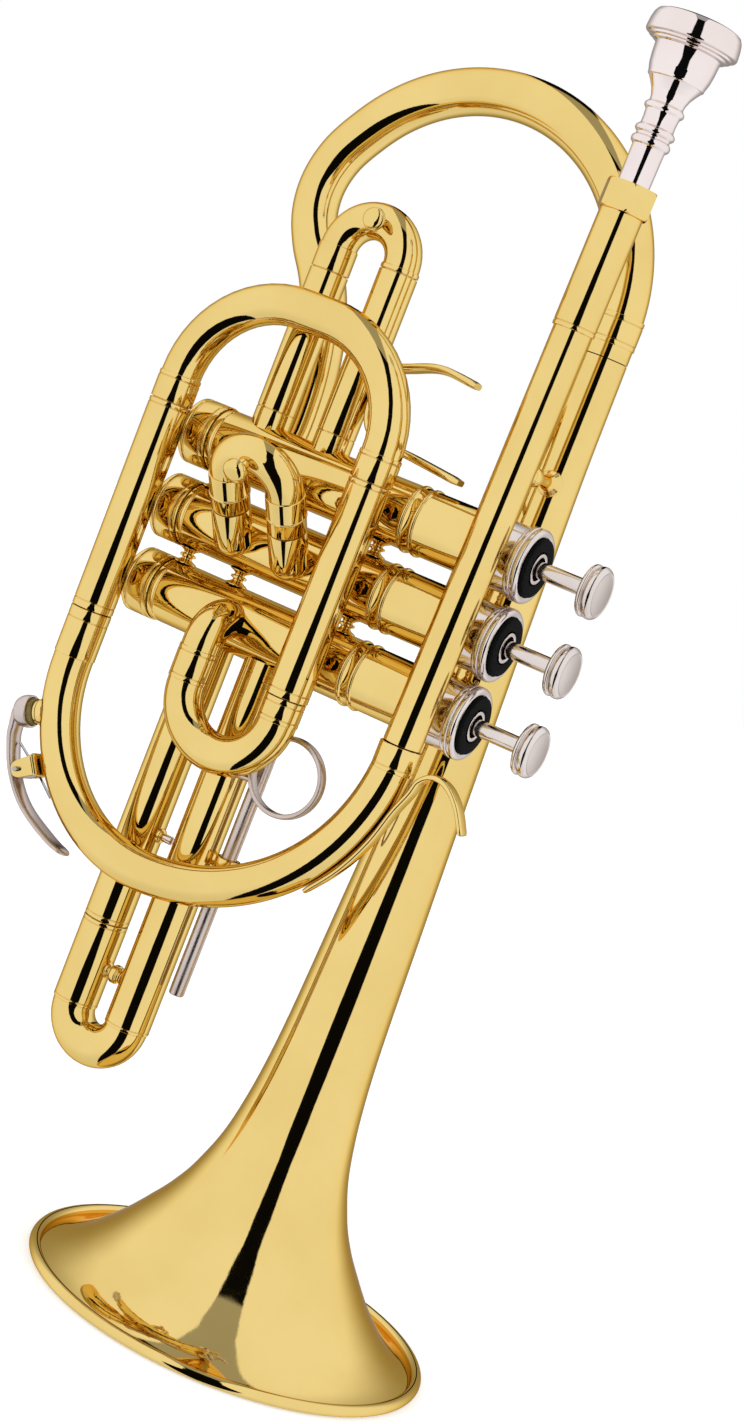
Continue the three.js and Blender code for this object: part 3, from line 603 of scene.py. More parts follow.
def top_cap_shape():
    """Top cap: a plain neck, a rim with a fine groove, and a seat for the felt round the stem's hole."""
    low, high, _ = box("top_cap_1")
    radius = (high.z - low.z) / 2
    neck = radius - 0.9
    groove = radius - 0.3
    bore, stem_hole, seat_r = THREAD_R + GAP, 3, 9.0
    ceiling, seat = 7.9, 11.6
    profile = rounded([
        (stem_hole, ceiling), (bore, ceiling), (bore, low.x), (neck, low.x), (neck, 9.0), (groove, 9.3),
        (radius, 10.0), (radius, 11.0), (groove, 11.25), (groove, 11.5), (radius, 11.75),
        (radius, high.x - 0.8), (radius - 0.6, high.x), (seat_r, high.x), (seat_r, seat), (stem_hole, seat),
    ], 0.3, steps=2, closed=True)
    return along_x(turned(profile, 96, closed=True))


FELT_SINK = 1.4  # depth of the step in the felt that holds the plated ring


def cap_felt_shape():
    """The felt washer, stepped down round the stem."""
    low, high, _ = box("cap_felt_1")
    radius = (high.z - low.z) / 2
    hole, step_r = 3.2, 5.1
    top, step = high.x, high.x - FELT_SINK
    profile = [(hole, low.x), (radius, low.x), (radius, top), (step_r, top), (step_r, step), (hole, step)]
    return along_x(turned(rounded(profile, 0.4, closed=True), closed=True))


def felt_ring_shape():
    """The thin plated ring let into the felt round the stem."""
    top = box("cap_felt_1")[1].x
    return along_x(ring_tube(4.6, 3.5, top - FELT_SINK, top + 0.2))


def stem_shape():
    low, high, _ = box("valve_stem_1")
    return along_x(solid_rod((high.z - low.z) / 2, low.x, high.x, 0.3))


def button_shape():
    """Finger button: two rounded bands with a groove between, and a pale face, slightly domed."""
    low, high, _ = box("finger_button_1")
    radius = (high.z - low.z) / 2
    foot, face = low.x, high.x
    lower_band = [(0, 0), (3.2, 0), (radius - 1.3, 0.1), (radius - 0.3, 0.5), (radius, 1.1),
                  (radius - 0.15, 1.7), (radius - 0.75, 2.0), (radius - 0.3, 2.4), (radius, 3.0)]
    upper_band = [(radius, 1.5), (radius - 0.4, 0.75), (radius - 1.2, 0.2), (radius - 1.6, 0.35), (4, 0.12),
                  (0, 0.06)]
    profile = [(r, foot + rise) for r, rise in lower_band] + [(r, face - drop) for r, drop in upper_band]
    return along_x(turned(rounded(profile, 0.5, steps=4), 96))


POSTS_TO_VALVE_1 = (-92.9, -35, -2)  # X of the balusters
POSTS_TO_VALVE_3 = (-92.9, -74, -35, -2)


def make_valves():
    """Casings, caps, felts, stems and buttons. The balusters belong to the middle casing, as in the CAD."""
    for number in (1, 2, 3):
        shape = casing_shape()
        if number == 2:
            post = baluster_shape()
            upside_down = post.placed(Matrix.Rotation(math.pi, 4, "X"))
            for x in POSTS_TO_VALVE_1:
                shape = shape + post.moved(x=x)
            for x in POSTS_TO_VALVE_3:
                shape = shape + upside_down.moved(x=x)
        stand_for(f"valve_casing_{number}", at_valve(number, shape))
        stand_for(f"bottom_cap_{number}", at_valve(number, bottom_cap_shape()))
        stand_for(f"top_cap_{number}", at_valve(number, top_cap_shape()))
        stand_for(f"cap_felt_{number}", at_valve(number, cap_felt_shape()))
        stand_beside(f"top_cap_{number}", at_valve(number, felt_ring_shape()), "ring")
        stand_for(f"valve_stem_{number}", at_valve(number, stem_shape()))
        stand_for(f"finger_button_{number}", at_valve(number, button_shape()))


def make_crossovers():
    """The short tubes between neighbouring casings, which go a little way into both."""
    into_casing = 3.4
    for upper in (1, 2):
        node = f"crossover_{upper}_{upper + 1}"
        half = (valve_z(upper) - valve_z(upper + 1)) / 2 - CASING_R + into_casing
        stand_for(node, ring_tube(5.3, 4.6, -half, half).moved(*box(node)[2]))


# ---- Tubing ----

WALL = 0.6  # of the bent tubes, and of the legs that run in the sleeves
SLEEVE_WALL = 0.5
LEG_INSET = 0.8  # how much thinner a slide's hidden legs are than its visible ends


def tube_profile(radius, bore, low, high, lines=(), lips=()):
    """Profile of a straight tube with engraved lines, and raised lips at heights of [height, width]."""
    line_width, line_depth = 0.24, 0.2
    lip_height = 0.28
    marks = [(z, line_width, -line_depth) for z in lines] + [(z, width, lip_height) for z, width in lips]
    outline = [(bore, low), (radius, low)]
    for z, width, rise in sorted(marks):
        outline += [(radius, z - width / 2 - 0.05), (radius + rise, z - width / 2 + 0.02),
                    (radius + rise, z + width / 2 - 0.02), (radius, z + width / 2 + 0.05)]
    outline += [(radius, high), (bore, high)]
    return rounded(outline, 0.3, closed=True)


def straight_tube(radius, bore, low, high, lines=(), lips=()):
    """A tube about Z with engraved lines and raised lips."""
    return turned(tube_profile(radius, bore, low, high, lines, lips), closed=True)


def make_sleeve(node, radius, low, high, lines):
    """A slide's outer sleeve, on the same axis as its CAD node."""
    _, _, centre = box(node)
    stand_for(node, straight_tube(radius, radius - SLEEVE_WALL, low, high, lines).moved(centre.x, centre.y))


def quarter(centre, rx, rz, start, end, steps, y=0.0):
    """Points on an ellipse about [x, z], from one angle in degrees to another."""
    angles = (math.radians(start + (end - start) * i / steps) for i in range(steps + 1))
    return [Vector((centre[0] + rx * math.cos(a), y, centre[1] + rz * math.sin(a))) for a in angles]


def open_pipe(points, radius, segments=48):
    """A bent tube with a real wall, open at both ends."""
    outer = sweep(points, radius, segments, cap=False)
    inner = sweep(points, radius - WALL, segments, cap=False)
    shape = outer + inner
    count = len(outer.verts)
    last = count - segments
    for k in range(segments):
        step = (k + 1) % segments
        for start in (0, last):
            shape.faces.append((start + k, start + step, count + start + step, count + start + k))
            shape.uvs.append([(0, 0)] * 4)
    return shape


def slide_shape(spacing, corner, radius, shanks, lines=((), ()), lips=()):
    """The bow and the two visible ends of a slide's legs, bend toward +Z from z = 0.

    shanks and lines give the length and the engraved lines of the left and right ends.
    """
    bow_inset = 0.35
    steps = 14
    half = spacing / 2
    left = quarter((-half + corner, 0), corner, corner, 180, 90, steps)
    right = quarter((half - corner, 0), corner, corner, 90, 0, steps)
    corners_meet = half - corner < 1e-3
    bend = left + (right[1:] if corners_meet else right)
    path = [Vector((-half, 0, -1))] + bend + [Vector((half, 0, -1))]
    shape = sweep(path, radius - bow_inset, 48, cap=False)
    for x, length, marks in zip((-half, half), shanks, lines):
        shape = shape + straight_tube(radius, radius - 1.2, -length, 0, marks, lips).moved(x=x)
    return shape


def leg_shape(spacing, slide_radius, shanks, insides):
    """The thinner legs that run in the sleeves, from just inside the shanks to their own ends."""
    overlap = 1
    radius = slide_radius - LEG_INSET
    shape = Shape()
    for x, shank, inside in zip((-spacing / 2, spacing / 2), shanks, insides):
        profile = tube_profile(radius, radius - WALL, -shank - inside, -shank + overlap)
        shape = shape + turned(profile, 48, closed=True).moved(x=x)
    return shape


def stand_slide(name, shape, legs, home):
    """Puts a slide and its legs in place."""
    stand_for(name, shape.placed(home))
    stand_beside(name, legs.placed(home), "legs", slot="plain_brass")


def knob_shape(notched):
    """Pull knob, turned about Z from its foot."""
    if notched:
        profile = [(0, -0.9), (1.9, -0.9), (1.5, 0.5), (1.35, 1.1), (2.3, 1.6), (3.2, 2.4), (3.55, 3.3),
                   (3.3, 3.9), (2.9, 4.0), (2.9, 4.35), (3.2, 4.45), (2.6, 5.1), (1.6, 5.5), (0, 5.6)]
    else:
        profile = [(0, -0.9), (1.9, -0.9), (1.6, 0.6), (1.7, 1.5), (3.2, 2.1), (3.7, 2.6), (3.7, 4.3),
                   (3.3, 4.9), (2.2, 5.4), (0, 5.6)]
    return turned(rounded(profile, 0.3, steps=2), 56)


def make_main_slide():
    left, right = box("main_slide_sleeve_left"), box("main_slide_sleeve_right")
    radius = (left[1].x - left[0].x) / 2
    low, high = left[0].z, left[1].z
    for side in ("left", "right"):
        make_sleeve(f"main_slide_sleeve_{side}", radius, low, high, (low + 2.2, high - 1.4))
    corner, bend_z = 30.5, 256
    inside = 60
    shanks = [bend_z - high - GAP] * 2
    spacing = right[2].x - left[2].x
    line = (-1.4,)
    shape = slide_shape(spacing, corner, radius, shanks, (line, line))
    legs = leg_shape(spacing, radius, shanks, (inside, inside))
    home = Matrix.Translation(((left[2].x + right[2].x) / 2, NEAR_Y, bend_z))
    stand_slide("main_tuning_slide", shape, legs, home)


FIRST_R = 5.9


def make_first_slide():
    radius, bend_z, line_z = FIRST_R, 308, 256.4
    inside = 40
    left, right = box("first_slide_sleeve_left"), box("first_slide_sleeve_right")
    tops = (left[1].z, right[1].z)
    for side, top in zip(("left", "right"), tops):
        make_sleeve(f"first_slide_sleeve_{side}", radius, valve_z(1) + TUBE_END, top, (line_z,))
    spacing = right[2].x - left[2].x
    shanks = [bend_z - top - GAP for top in tops]
    shape = slide_shape(spacing, spacing / 2, radius, shanks)
    legs = leg_shape(spacing, radius, shanks, (inside, inside))
    home = Matrix.Translation(((left[2].x + right[2].x) / 2, VALVE_Y, bend_z))
    stand_slide("first_slide", shape, legs, home)
    _, knob_high, knob_middle = box("first_slide_knob")
    knob = knob_shape(True).placed(Matrix.Rotation(math.pi / 2, 4, "X"))
    stand_for("first_slide_knob", knob.moved(knob_middle.x, knob_high.y, knob_middle.z))


def make_second_slide():
    """The slide stands at a slant, and its tubes meet the casing beside its middle, each with a round heel.

    Heights are from the valve's axis, along the slide.
    """
    radius, aside, heel, top, bend = 5.8, 8.8, 7, 19, 31.7
    slant_angle = 0.7418
    lip_at, lip_width = 24.4, 0.5
    inside = 8.8
    legs_x = (box("second_slide_sleeve_left")[2].x, box("second_slide_sleeve_right")[2].x)
    spacing = legs_x[1] - legs_x[0]
    middle = (legs_x[0] + legs_x[1]) / 2
    slant = Matrix.Rotation(slant_angle, 4, "X")
    home = Matrix.Translation((0, VALVE_Y, valve_z(2))) @ slant @ Matrix.Translation((0, -aside, 0))
    outside = [(radius * math.cos(math.radians(a)), heel + radius * math.sin(math.radians(a)))
               for a in range(-90, 1, 9)]
    bore, bottom = radius - SLEEVE_WALL, heel + 2
    mouth = [(radius, top), (bore, top), (bore, bottom), (0, bottom)]
    tube = turned(rounded([(0, heel - radius)] + outside[1:] + mouth, 0.2, steps=2), 64)
    for side, x in zip(("left", "right"), legs_x):
        stand_for(f"second_slide_sleeve_{side}", tube.moved(x=x).placed(home))
    shanks = [bend - top - GAP] * 2
    shape = slide_shape(spacing, spacing / 2, radius, shanks, lips=((lip_at - bend, lip_width),))
    legs = leg_shape(spacing, radius, shanks, (inside, inside))
    stand_slide("second_slide", shape, legs, home @ Matrix.Translation((middle, 0, bend)))
    knob = knob_shape(False).placed(Matrix.Rotation(math.pi / 2, 4, "X"))
    knob = knob.moved(x=middle, y=-radius, z=bend + spacing / 2)
    stand_for("second_slide_knob", knob.placed(home))


def bead_bar(half, radius):
    """A turned brace between two legs, with flared feet and a bead in its middle."""
    upper = [(radius, 0.8), (2.4, 1.15), (2.4, 1.4), (1.8, 1.5), (1.8, half - 0.9), (2.5, half - 0.4),
             (2.7, half), (0, half)]
    profile = [(r, -z) for r, z in reversed(upper)] + upper
    return turned(rounded(profile, 0.25, steps=2), 48)


THIRD_R = 7


def make_third_slide():
    """The long slide toward the bell, with its brace, its stud and the eye on the stop rod."""
    radius, bend_z, stud_z = THIRD_R, 69, 126
    brace_at, bead_r = 13, 2.9
    insides = (26, 50)
    lows = {}
    for side in ("left", "right"):
        node = f"third_slide_sleeve_{side}"
        low, _, _ = box(node)
        lows[side] = low.z
        x = low.x + radius
        end = valve_z(3) - TUBE_END
        shape = straight_tube(radius, radius - SLEEVE_WALL, low.z, end, (low.z + 1.3,)).moved(x, VALVE_Y)
        if side == "left":
            base = rounded([(0, radius - 0.4), (2.5, radius - 0.4), (2.3, radius + 0.5),
                            (1.7, radius + 1.1), (0, radius + 1.1)], 0.3)
            stud = rounded([(0, radius), (1.3, radius), (1.3, radius + 4.1), (1, radius + 4.4),
                            (0, radius + 4.4)], 0.2)
            place = (x, VALVE_Y, stud_z)
            shape = shape + along_x(turned(base, 32)).moved(*place)
            stand_beside(node, along_x(turned(stud, 32)).moved(*place), "stud", slot="nickel_plate")
        stand_for(node, shape)
    left = box("third_slide_sleeve_left")[0].x + radius
    right = box("third_slide_sleeve_right")[0].x + radius
    spacing = right - left
    turn = Matrix.Translation(((left + right) / 2, VALVE_Y, bend_z)) @ Matrix.Rotation(math.pi, 4, "Y")
    shanks = (lows["right"] - GAP - bend_z, lows["left"] - GAP - bend_z)
    lines = ((-1.0,), (-1.0, 1.2 - shanks[1]))
    shape = slide_shape(spacing, spacing / 2, radius, shanks, lines)
    into_leg = 0.2
    brace = along_x(bead_bar(spacing / 2 - radius + into_leg, bead_r))
    shape = shape + brace.moved(z=-brace_at)
    shape = shape + eye_shape(right, spacing, bend_z)
    stand_slide("third_slide", shape, leg_shape(spacing, radius, shanks, insides), turn)


ROD_X = -43
ROD_R = 2.35


def eye_shape(right, spacing, bend_z):
    """The eye that runs along the stop rod, on the slide's right leg, in the slide's own frame."""
    eye_z, eye_half = 127, 2
    inner, outer = ROD_R + 0.4, ROD_R + 1.5
    offset = right - ROD_X
    profile = rounded([(inner, -eye_half), (outer, -eye_half), (outer, eye_half), (inner, eye_half)], 0.35,
                      closed=True)
    eye = turned(profile, 48, closed=True).moved(x=offset)
    arm = slab([(offset + 2.6, -1.5), (-6.6, -1.9), (-6.6, 1.9), (offset + 2.6, 1.5)], 3.2, 0.5)
    return (eye + arm).moved(x=-spacing / 2, z=bend_z - eye_z)


def make_stop_rod():
    """The rod, and the post that holds it to the slide's sleeve."""
    post_z = 164
    low, high, _ = box("stop_rod")
    foot = low.x - ROD_X
    bar = solid_rod(ROD_R, low.z, high.z, 0.7).moved(ROD_X, VALVE_Y)
    profile = rounded([(0, foot), (3.3, foot), (3.2, foot + 0.7), (2.1, foot + 1.6), (1.9, 0), (0, 0)], 0.3)
    stand_satin_shaded("stop_rod", bar + along_x(turned(profile, 40)).moved(ROD_X, VALVE_Y, post_z))


def make_finger_ring():
    """A flat band on a curved arm from the third slide's right leg, which it moves with."""
    radius, bore, half_width, ring_y = 12.2, 10.6, 1.75, -30
    _, high, _ = box("finger_ring")
    centre_x, centre_z = high.x - radius, high.z - radius
    shoulder, crown = radius - 0.25, half_width * 0.4
    profile = rounded([(bore, -half_width), (shoulder, -half_width), (radius, -crown), (radius, crown),
                       (shoulder, half_width), (bore, half_width)], 0.45, steps=4, closed=True)
    band = along_y(turned(profile, 120, closed=True)).moved(centre_x, ring_y, centre_z)
    leg_x = box("third_slide_sleeve_right")[0].x + THIRD_R
    points = smooth_curve([
        (leg_x + 4.7, VALVE_Y - 5.6, centre_z - 5.8), (leg_x + 5.7, VALVE_Y - 6.6, centre_z - 5.6),
        (-46.5, ring_y + 0.6, centre_z - 5.2), (centre_x - 10.6, ring_y, centre_z - 4.7),
    ], 8)
    thick, thin, taper_points = 1.7, 1.2, 8
    radii = [thick - (thick - thin) * min(1, i / taper_points) for i in range(len(points))]
    arm = sweep(points, radii, 32)
    stand_satin_shaded("finger_ring", band + arm)


def make_inlet_bow():
    """The bend from the main slide's right leg, up and back through an elbow into valve 3."""
    radius = 5.9
    right_x = box("main_slide_sleeve_right")[2].x
    start_z = box("main_slide_sleeve_right")[0].z - GAP
    left_x, bend_z, elbow = -67.5, 174.5, 8
    ferrule_top = bend_z + 10
    bend_r = (right_x - left_x) / 2
    points = [Vector((right_x, NEAR_Y, start_z))]
    points += quarter(((left_x + right_x) / 2, bend_z), bend_r, bend_r, 0, -180, 30, NEAR_Y)
    elbow_z = valve_z(3) - elbow
    steps = 12
    for i in range(steps + 1):
        angle = math.pi / 2 * i / steps
        y = NEAR_Y + elbow * (1 - math.cos(angle))
        points.append(Vector((left_x, y, elbow_z + elbow * math.sin(angle))))
    points.append(Vector((left_x, VALVE_Y - TUBE_END, valve_z(3))))
    shape = open_pipe(points, radius)
    for x, top, lines in ((right_x, start_z, (1.3, 5.6)), (left_x, ferrule_top, (1.4, 8.6))):
        marks = [bend_z + z for z in lines]
        shape = shape + straight_tube(radius + 0.22, radius - 0.4, bend_z, top, marks).moved(x, NEAR_Y)
    stand_for("valve_3_inlet_bow", shape)


# ---- Front bow, leadpipe and mouthpiece ----

BOW_R = 6.05
BOW_LOW_X, BOW_LOW_Z = -62, 117.8  # the bow's lowest point
BOW_RIGHT_X, BOW_RIGHT_Z = 3.4, 181  # the top of its right quarter
BOW_LEFT_Z = 166  # the top of its left quarter
BOW_END_Z = BOW_RIGHT_Z + 2


def bow_point(degrees, distance=0.0):
    """A point on the front bow's left quarter, at degrees below its side and a distance outward."""
    angle = math.radians(degrees)
    rx = BOW_LOW_X - box("main_slide_sleeve_left")[2].x
    rz = BOW_LEFT_Z - BOW_LOW_Z
    out = Vector((-rz * math.cos(angle), 0, -rx * math.sin(angle))).normalized()
    on_bow = Vector((BOW_LOW_X - rx * math.cos(angle), NEAR_Y, BOW_LEFT_Z - rz * math.sin(angle)))
    return on_bow + distance * out


def toward(direction):
    """The turn that takes +Z to a direction."""
    return direction.normalized().to_track_quat("Z", "Y").to_matrix().to_4x4()


CORK_DEGREES = 20
NIPPLE_TOP = BOW_R + 1.9
PIVOT_DEGREES = 37
PIVOT_OUT = 13


def cork_home():
    """The turn and place of the nipple and the cork, which stand out from the bow."""
    base = bow_point(CORK_DEGREES)
    return Matrix.Translation(base) @ toward(bow_point(CORK_DEGREES, 1) - base)


def make_front_bow():
    """The bow of two quarter ellipses, a ferrule at each end, and the water key's nipple."""
    left_x = box("main_slide_sleeve_left")[2].x
    start_z = box("main_slide_sleeve_left")[0].z - GAP
    left_rx, left_rz = BOW_LOW_X - left_x, BOW_LEFT_Z - BOW_LOW_Z
    right_rx, right_rz = BOW_RIGHT_X - BOW_LOW_X, BOW_RIGHT_Z - BOW_LOW_Z
    points = [Vector((left_x, NEAR_Y, start_z))]
    points += quarter((BOW_LOW_X, BOW_LEFT_Z), left_rx, left_rz, 180, 270, 26, NEAR_Y)
    points += quarter((BOW_LOW_X, BOW_RIGHT_Z), right_rx, right_rz, 270, 360, 32, NEAR_Y)[1:]
    points.append(Vector((BOW_RIGHT_X, NEAR_Y, BOW_END_Z)))
    shape = open_pipe(points, BOW_R, segments=56)
    bore = BOW_R - 0.4
    left = straight_tube(BOW_R + 0.25, bore, BOW_LEFT_Z + 1, start_z, (178.4,))
    right = straight_tube(BOW_R + 0.2, bore, BOW_RIGHT_Z - 5.5, BOW_END_Z, (BOW_RIGHT_Z - 4.2,))
    shape = shape + left.moved(left_x, NEAR_Y)
    shape = shape + right.moved(BOW_RIGHT_X, NEAR_Y)
    foot, hole = 4.6, 1.6
    profile = [(0, foot), (4.2, foot), (4.1, BOW_R + 0.6), (3.6, BOW_R + 1.0), (3.6, NIPPLE_TOP),
               (hole, NIPPLE_TOP), (hole, NIPPLE_TOP - 1.2), (0, NIPPLE_TOP - 1.2)]
    shape = shape + turned(rounded(profile, 0.25), 48).placed(cork_home())
    stand_for("front_bow", shape)


def leaned(shape):
    """Puts a piece turned about Z on the leadpipe's axis, which leans toward the buttons."""
    pivot_z = 255
    lean = Matrix.Rotation(math.radians(0.9), 4, "Y")
    to_axis = Matrix.Translation((LEAD_X, NEAR_Y, pivot_z))
    return shape.placed(to_axis @ lean @ Matrix.Translation((0, 0, -pivot_z)))


def make_leadpipe():
    radius, top = 5.6, 322
    stand_for("leadpipe", leaned(straight_tube(radius, radius - WALL, BOW_END_Z + GAP, top)))


def make_receiver():
    """Sleeve, and a six-sided collar with its corners turned off."""
    radius, bore, hex_r = 6.2, 5.1, 7.9
    low, hex_low, hex_high = 306.6, 340.8, 348.8
    shape = straight_tube(radius, bore, low, hex_low + 1, (low + 1.4,))
    segments = 96
    side_angle = math.pi / 3
    flat = hex_r * math.cos(side_angle / 2)
    turned_off = ((0, 7.1), (0.2, 7.4), (0.6, 7.7), (0.9, 7.82), (7.1, 7.82), (7.4, 7.7), (7.8, 7.4),
                  (8, 7.1))
    rings = [circle(bore, hex_low, segments)]
    for height, limit in turned_off:
        ring = []
        for k in range(segments):
            angle = 2 * math.pi * k / segments
            facet = flat / math.cos((angle % side_angle) - side_angle / 2)
            size = min(facet, limit)
            ring.append((size * math.cos(angle), size * math.sin(angle), hex_low + height))
        rings.append(ring)
    rings.append(circle(bore, hex_high, segments))
    stand_for("mouthpiece_receiver", leaned(shape + skin(rings, loop=True)))


def make_mouthpiece():
    """One profile from the shank's foot up the outside, over the rim and down the inside."""
    rim, top, low = 13.3, 395.5, 325
    shank = [(3.3, low), (4.25, low), (4.6, 350.8), (4.7, 359.5)]
    lower_ridges = [(5.45, 360.1), (5.65, 360.6), (5.65, 361.3), (5.4, 361.8), (4.85, 362.2), (4.85, 362.8),
                    (5.5, 363.3), (5.75, 363.7), (5.75, 364.3), (5.4, 364.8)]
    neck = [(4.8, 365.3), (4.75, 367.2), (4.95, 369.3)]
    upper_ridge = [(5.5, 369.8), (5.75, 370.2), (5.75, 370.8), (5.5, 371.2)]
    cup = [(4.85, 371.8), (5.0, 373.2), (5.7, 375.0), (6.8, 376.8), (7.75, 378.1), (8.15, 378.3),
           (8.2, 379), (8.8, 381), (9.15, 383.5), (9.4, 387)]
    under_rim = [(10.6, 387.3), (10.8, 387.9), (11.9, 388.0), (12.1, 388.6), (rim - 0.25, 388.8),
                 (rim, 389.4)]
    face = [(rim - 0.2, 391.9), (rim - 0.6, 393.8), (rim - 1.3, top - 0.5), (rim - 2.6, top),
            (rim - 3.9, top - 0.35), (8.5, top - 1.6)]
    inside = [(8.05, top - 3.6), (7.8, 388.5), (7.0, 384.9), (5.4, 382.1), (3.2, 380.3), (1.9, 379.1),
              (1.85, 374), (3.3, low + 0.5)]
    profile = shank + lower_ridges + neck + upper_ridge + cup + under_rim + face + inside
    shape = turned(rounded(profile, 0.28, steps=2, closed=True), 96, closed=True)
    stand_for("mouthpiece", leaned(shape))


# ---- Water key ----

CORK_SEAT = NIPPLE_TOP + 0.3  # the cork's face, outward from the bow's middle line


def make_cork():
    profile = [(0, CORK_SEAT), (4.0, CORK_SEAT), (4.1, CORK_SEAT + 3), (0, CORK_SEAT + 3)]
    stand_for("water_key_cork", turned(rounded(profile, 0.45, steps=4), 56).placed(cork_home()))


def lever_shape():
    """The curved lever: thick and narrow at the cork, thin and a little wider at the finger's end."""
    rises = ((CORK_DEGREES - 1, 6.0), (24, 7.2), (28, 8.1), (PIVOT_DEGREES, 8.7), (47, 7.7), (59, 4.6),
             (67, 2.6))
    middle_line = smooth_curve([bow_point(degrees, CORK_SEAT + rise) for degrees, rise in rises], 8)
    half_width, wider, widest_at, spread = 3.0, 0.5, 0.82, 0.14
    cork_end, thinner = 2.1, 1.2
    section = arc(1, 0, 360, 28)[:-1]
    rings = []
    for i, spot in enumerate(middle_line):
        tangent = direction_at(middle_line, i)
        side = Vector((-tangent.z, 0, tangent.x))
        t = i / (len(middle_line) - 1)
        end = min(1.0, (1 - t) / 0.05, t / 0.04 + 0.3) ** 0.5
        wide = (half_width + wider * math.exp(-((t - widest_at) / spread) ** 2)) * end
        thick = (cork_end - thinner * t) * end
        rings.append([spot + side * thick * b + Vector((0, wide * a, 0)) for a, b in section])
    return skin([[middle_line[0]], *rings, [middle_line[-1]]])


def bracket_shape():
    """Two cheeks on a foot, worked out with the bow's middle line at the origin and Z outward."""
    low = BOW_R + 0.6
    cheek_y = 4.3
    shoulder, crown = PIVOT_OUT + 0.6, PIVOT_OUT + 2.2
    cheek_outline = [(-3.1, low + 0.6), (3.1, low + 0.6), (2.6, shoulder), (1.5, crown), (-1.5, crown),
                     (-2.6, shoulder)]
    foot_outline = [(-3.6, low), (3.6, low), (3.1, low + 1.8), (-3.1, low + 1.8)]
    cheek = slab(rounded(cheek_outline, 1.0, closed=True), 1.4, 0.3)
    foot = slab(rounded(foot_outline, 0.5, closed=True), 10, 0.6)
    return cheek.moved(y=cheek_y) + cheek.moved(y=-cheek_y) + foot


def make_water_key():
    """The cork, the lever with its cup and hinge barrel, the pin and the bracket."""
    make_cork()
    over_cork = [(0, 3.2), (4.2, 3.2), (4.2, 1.5), (4.9, 1.5), (5.0, 3.4), (4.7, 4.9), (3.9, 6.2),
                 (2.4, 7.1), (0, 7.4)]
    cup_profile = [(r, CORK_SEAT + rise) for r, rise in over_cork]
    cup = turned(rounded(cup_profile, 0.5, steps=4), 56).placed(cork_home())
    pivot = bow_point(PIVOT_DEGREES, PIVOT_OUT)
    barrel = along_y(ring_tube(2.7, 1.1, -3, 3, 0.3, 40)).moved(*pivot)
    stand_satin_shaded("water_key", cup + lever_shape() + barrel)
    pin_r, pin_half = 0.8, 6.4
    pin = turned(rounded([(0, -pin_half), (pin_r, -pin_half), (pin_r, pin_half), (0, pin_half)], 0.25), 32)
    stand_for("water_key_pin", along_y(pin).moved(*pivot))
    under_pivot = bow_point(PIVOT_DEGREES)
    outward = pivot - under_pivot
    turn = Matrix.Rotation(math.atan2(outward.x, outward.z), 4, "Y")
    stand_for("water_key_bracket", bracket_shape().placed(Matrix.Translation(under_pivot) @ turn))


# ---- Bell, crook, hook, saddle and brace ----

TAIL_R = 7.1
FLARE = [(1.25, 60.1), (2.0, 57.5), (3.0, 55), (4.35, 52.5), (6.0, 50), (7.95, 47.5), (10.3, 45),
         (12.8, 42.5), (15.6, 40), (18.7, 37.5), (22, 35), (30, 29.3), (40, 24.1), (56, 19), (83, 15.4),
         (130, 13), (200, 10), (264, 7.7)]  # [height, radius], from the wire to the tail


def make_bell():
    """The flare, drawn out to the tail, and the sheet's edge rolled over a wire."""
    _, high, _ = box("bell")
    rim, tail = high.x, high.z
    outside = smooth_curve([(r, z) for z, r in FLARE] + [(TAIL_R, tail)], 8)
    inside = []
    for i, point in enumerate(outside):
        along = direction_at(outside, i)
        inside.append(point + WALL * Vector((-along.y, along.x)))
    inside[-1].y = tail
    under_wire = 4
    inside = inside[under_wire:][::-1]
    wire = 1.72
    angles = (math.radians(a) for a in range(-120, 196, 12))
    roll = [(rim - wire + wire * math.cos(a), wire + wire * math.sin(a)) for a in angles]
    profile = roll + [tuple(point) for point in outside + inside]
    stand_for("bell", turned(profile, 160, closed=True))


def fit_to_casing(shape, segments):
    """Shapes the end of an open pipe to valve 1's round casing, so that it stops in the casing's wall."""
    count = len(shape.verts) // 2
    wall = (CASING_R + CASING_BORE) / 2
    for i, vert in enumerate(shape.verts):
        off = vert.z - valve_z(1)
        if abs(off) < wall and vert.x < CASING_MIDDLE.x and vert.y < VALVE_Y + 2 * CASING_R:
            face = VALVE_Y + math.sqrt(wall ** 2 - off ** 2)
            vert.y = face if i % count >= count - segments else max(vert.y, face)


def make_crook():
    """The shepherd's crook: an arc from the bell's tail, then a free curve down to valve 1."""
    radius, bend, bend_degrees = TAIL_R, 54.8, 143
    outlet_x = -85
    centre_z = box("bell_crook")[1].z - radius - bend
    points = [Vector((0, 0, box("bell")[1].z + GAP)), Vector((0, 0, centre_z - 4))]
    points += quarter((-bend, centre_z), bend, bend, 0, bend_degrees, 58)
    curve = [(-105.2, 0, 336.5), (-108, 0, 326.5), (-107.2, 0, 317), (-103.3, 0, 308.5), (-97.6, 0, 300.5),
             (-92.6, 0, 291.5), (-88.6, 0, 280), (-86.2, 0, 266), (outlet_x, -1.6, 250),
             (outlet_x, -6.5, valve_z(1) + 1.4), (outlet_x, VALVE_Y + TUBE_END, valve_z(1))]
    per_span = 6
    down = smooth_curve([points[-5], points[-1], *curve], per_span)[per_span + 1:]
    segments = 64
    shape = open_pipe(points + down, radius, segments)
    fit_to_casing(shape, segments)
    stand_for("bell_crook", shape)
    half = 4.4
    seam = straight_tube(radius + 0.3, radius - 0.3, -half, half, (-2.9, 2.9))
    stand_beside("bell_crook", seam.moved(z=centre_z + 0.2), "ferrule")


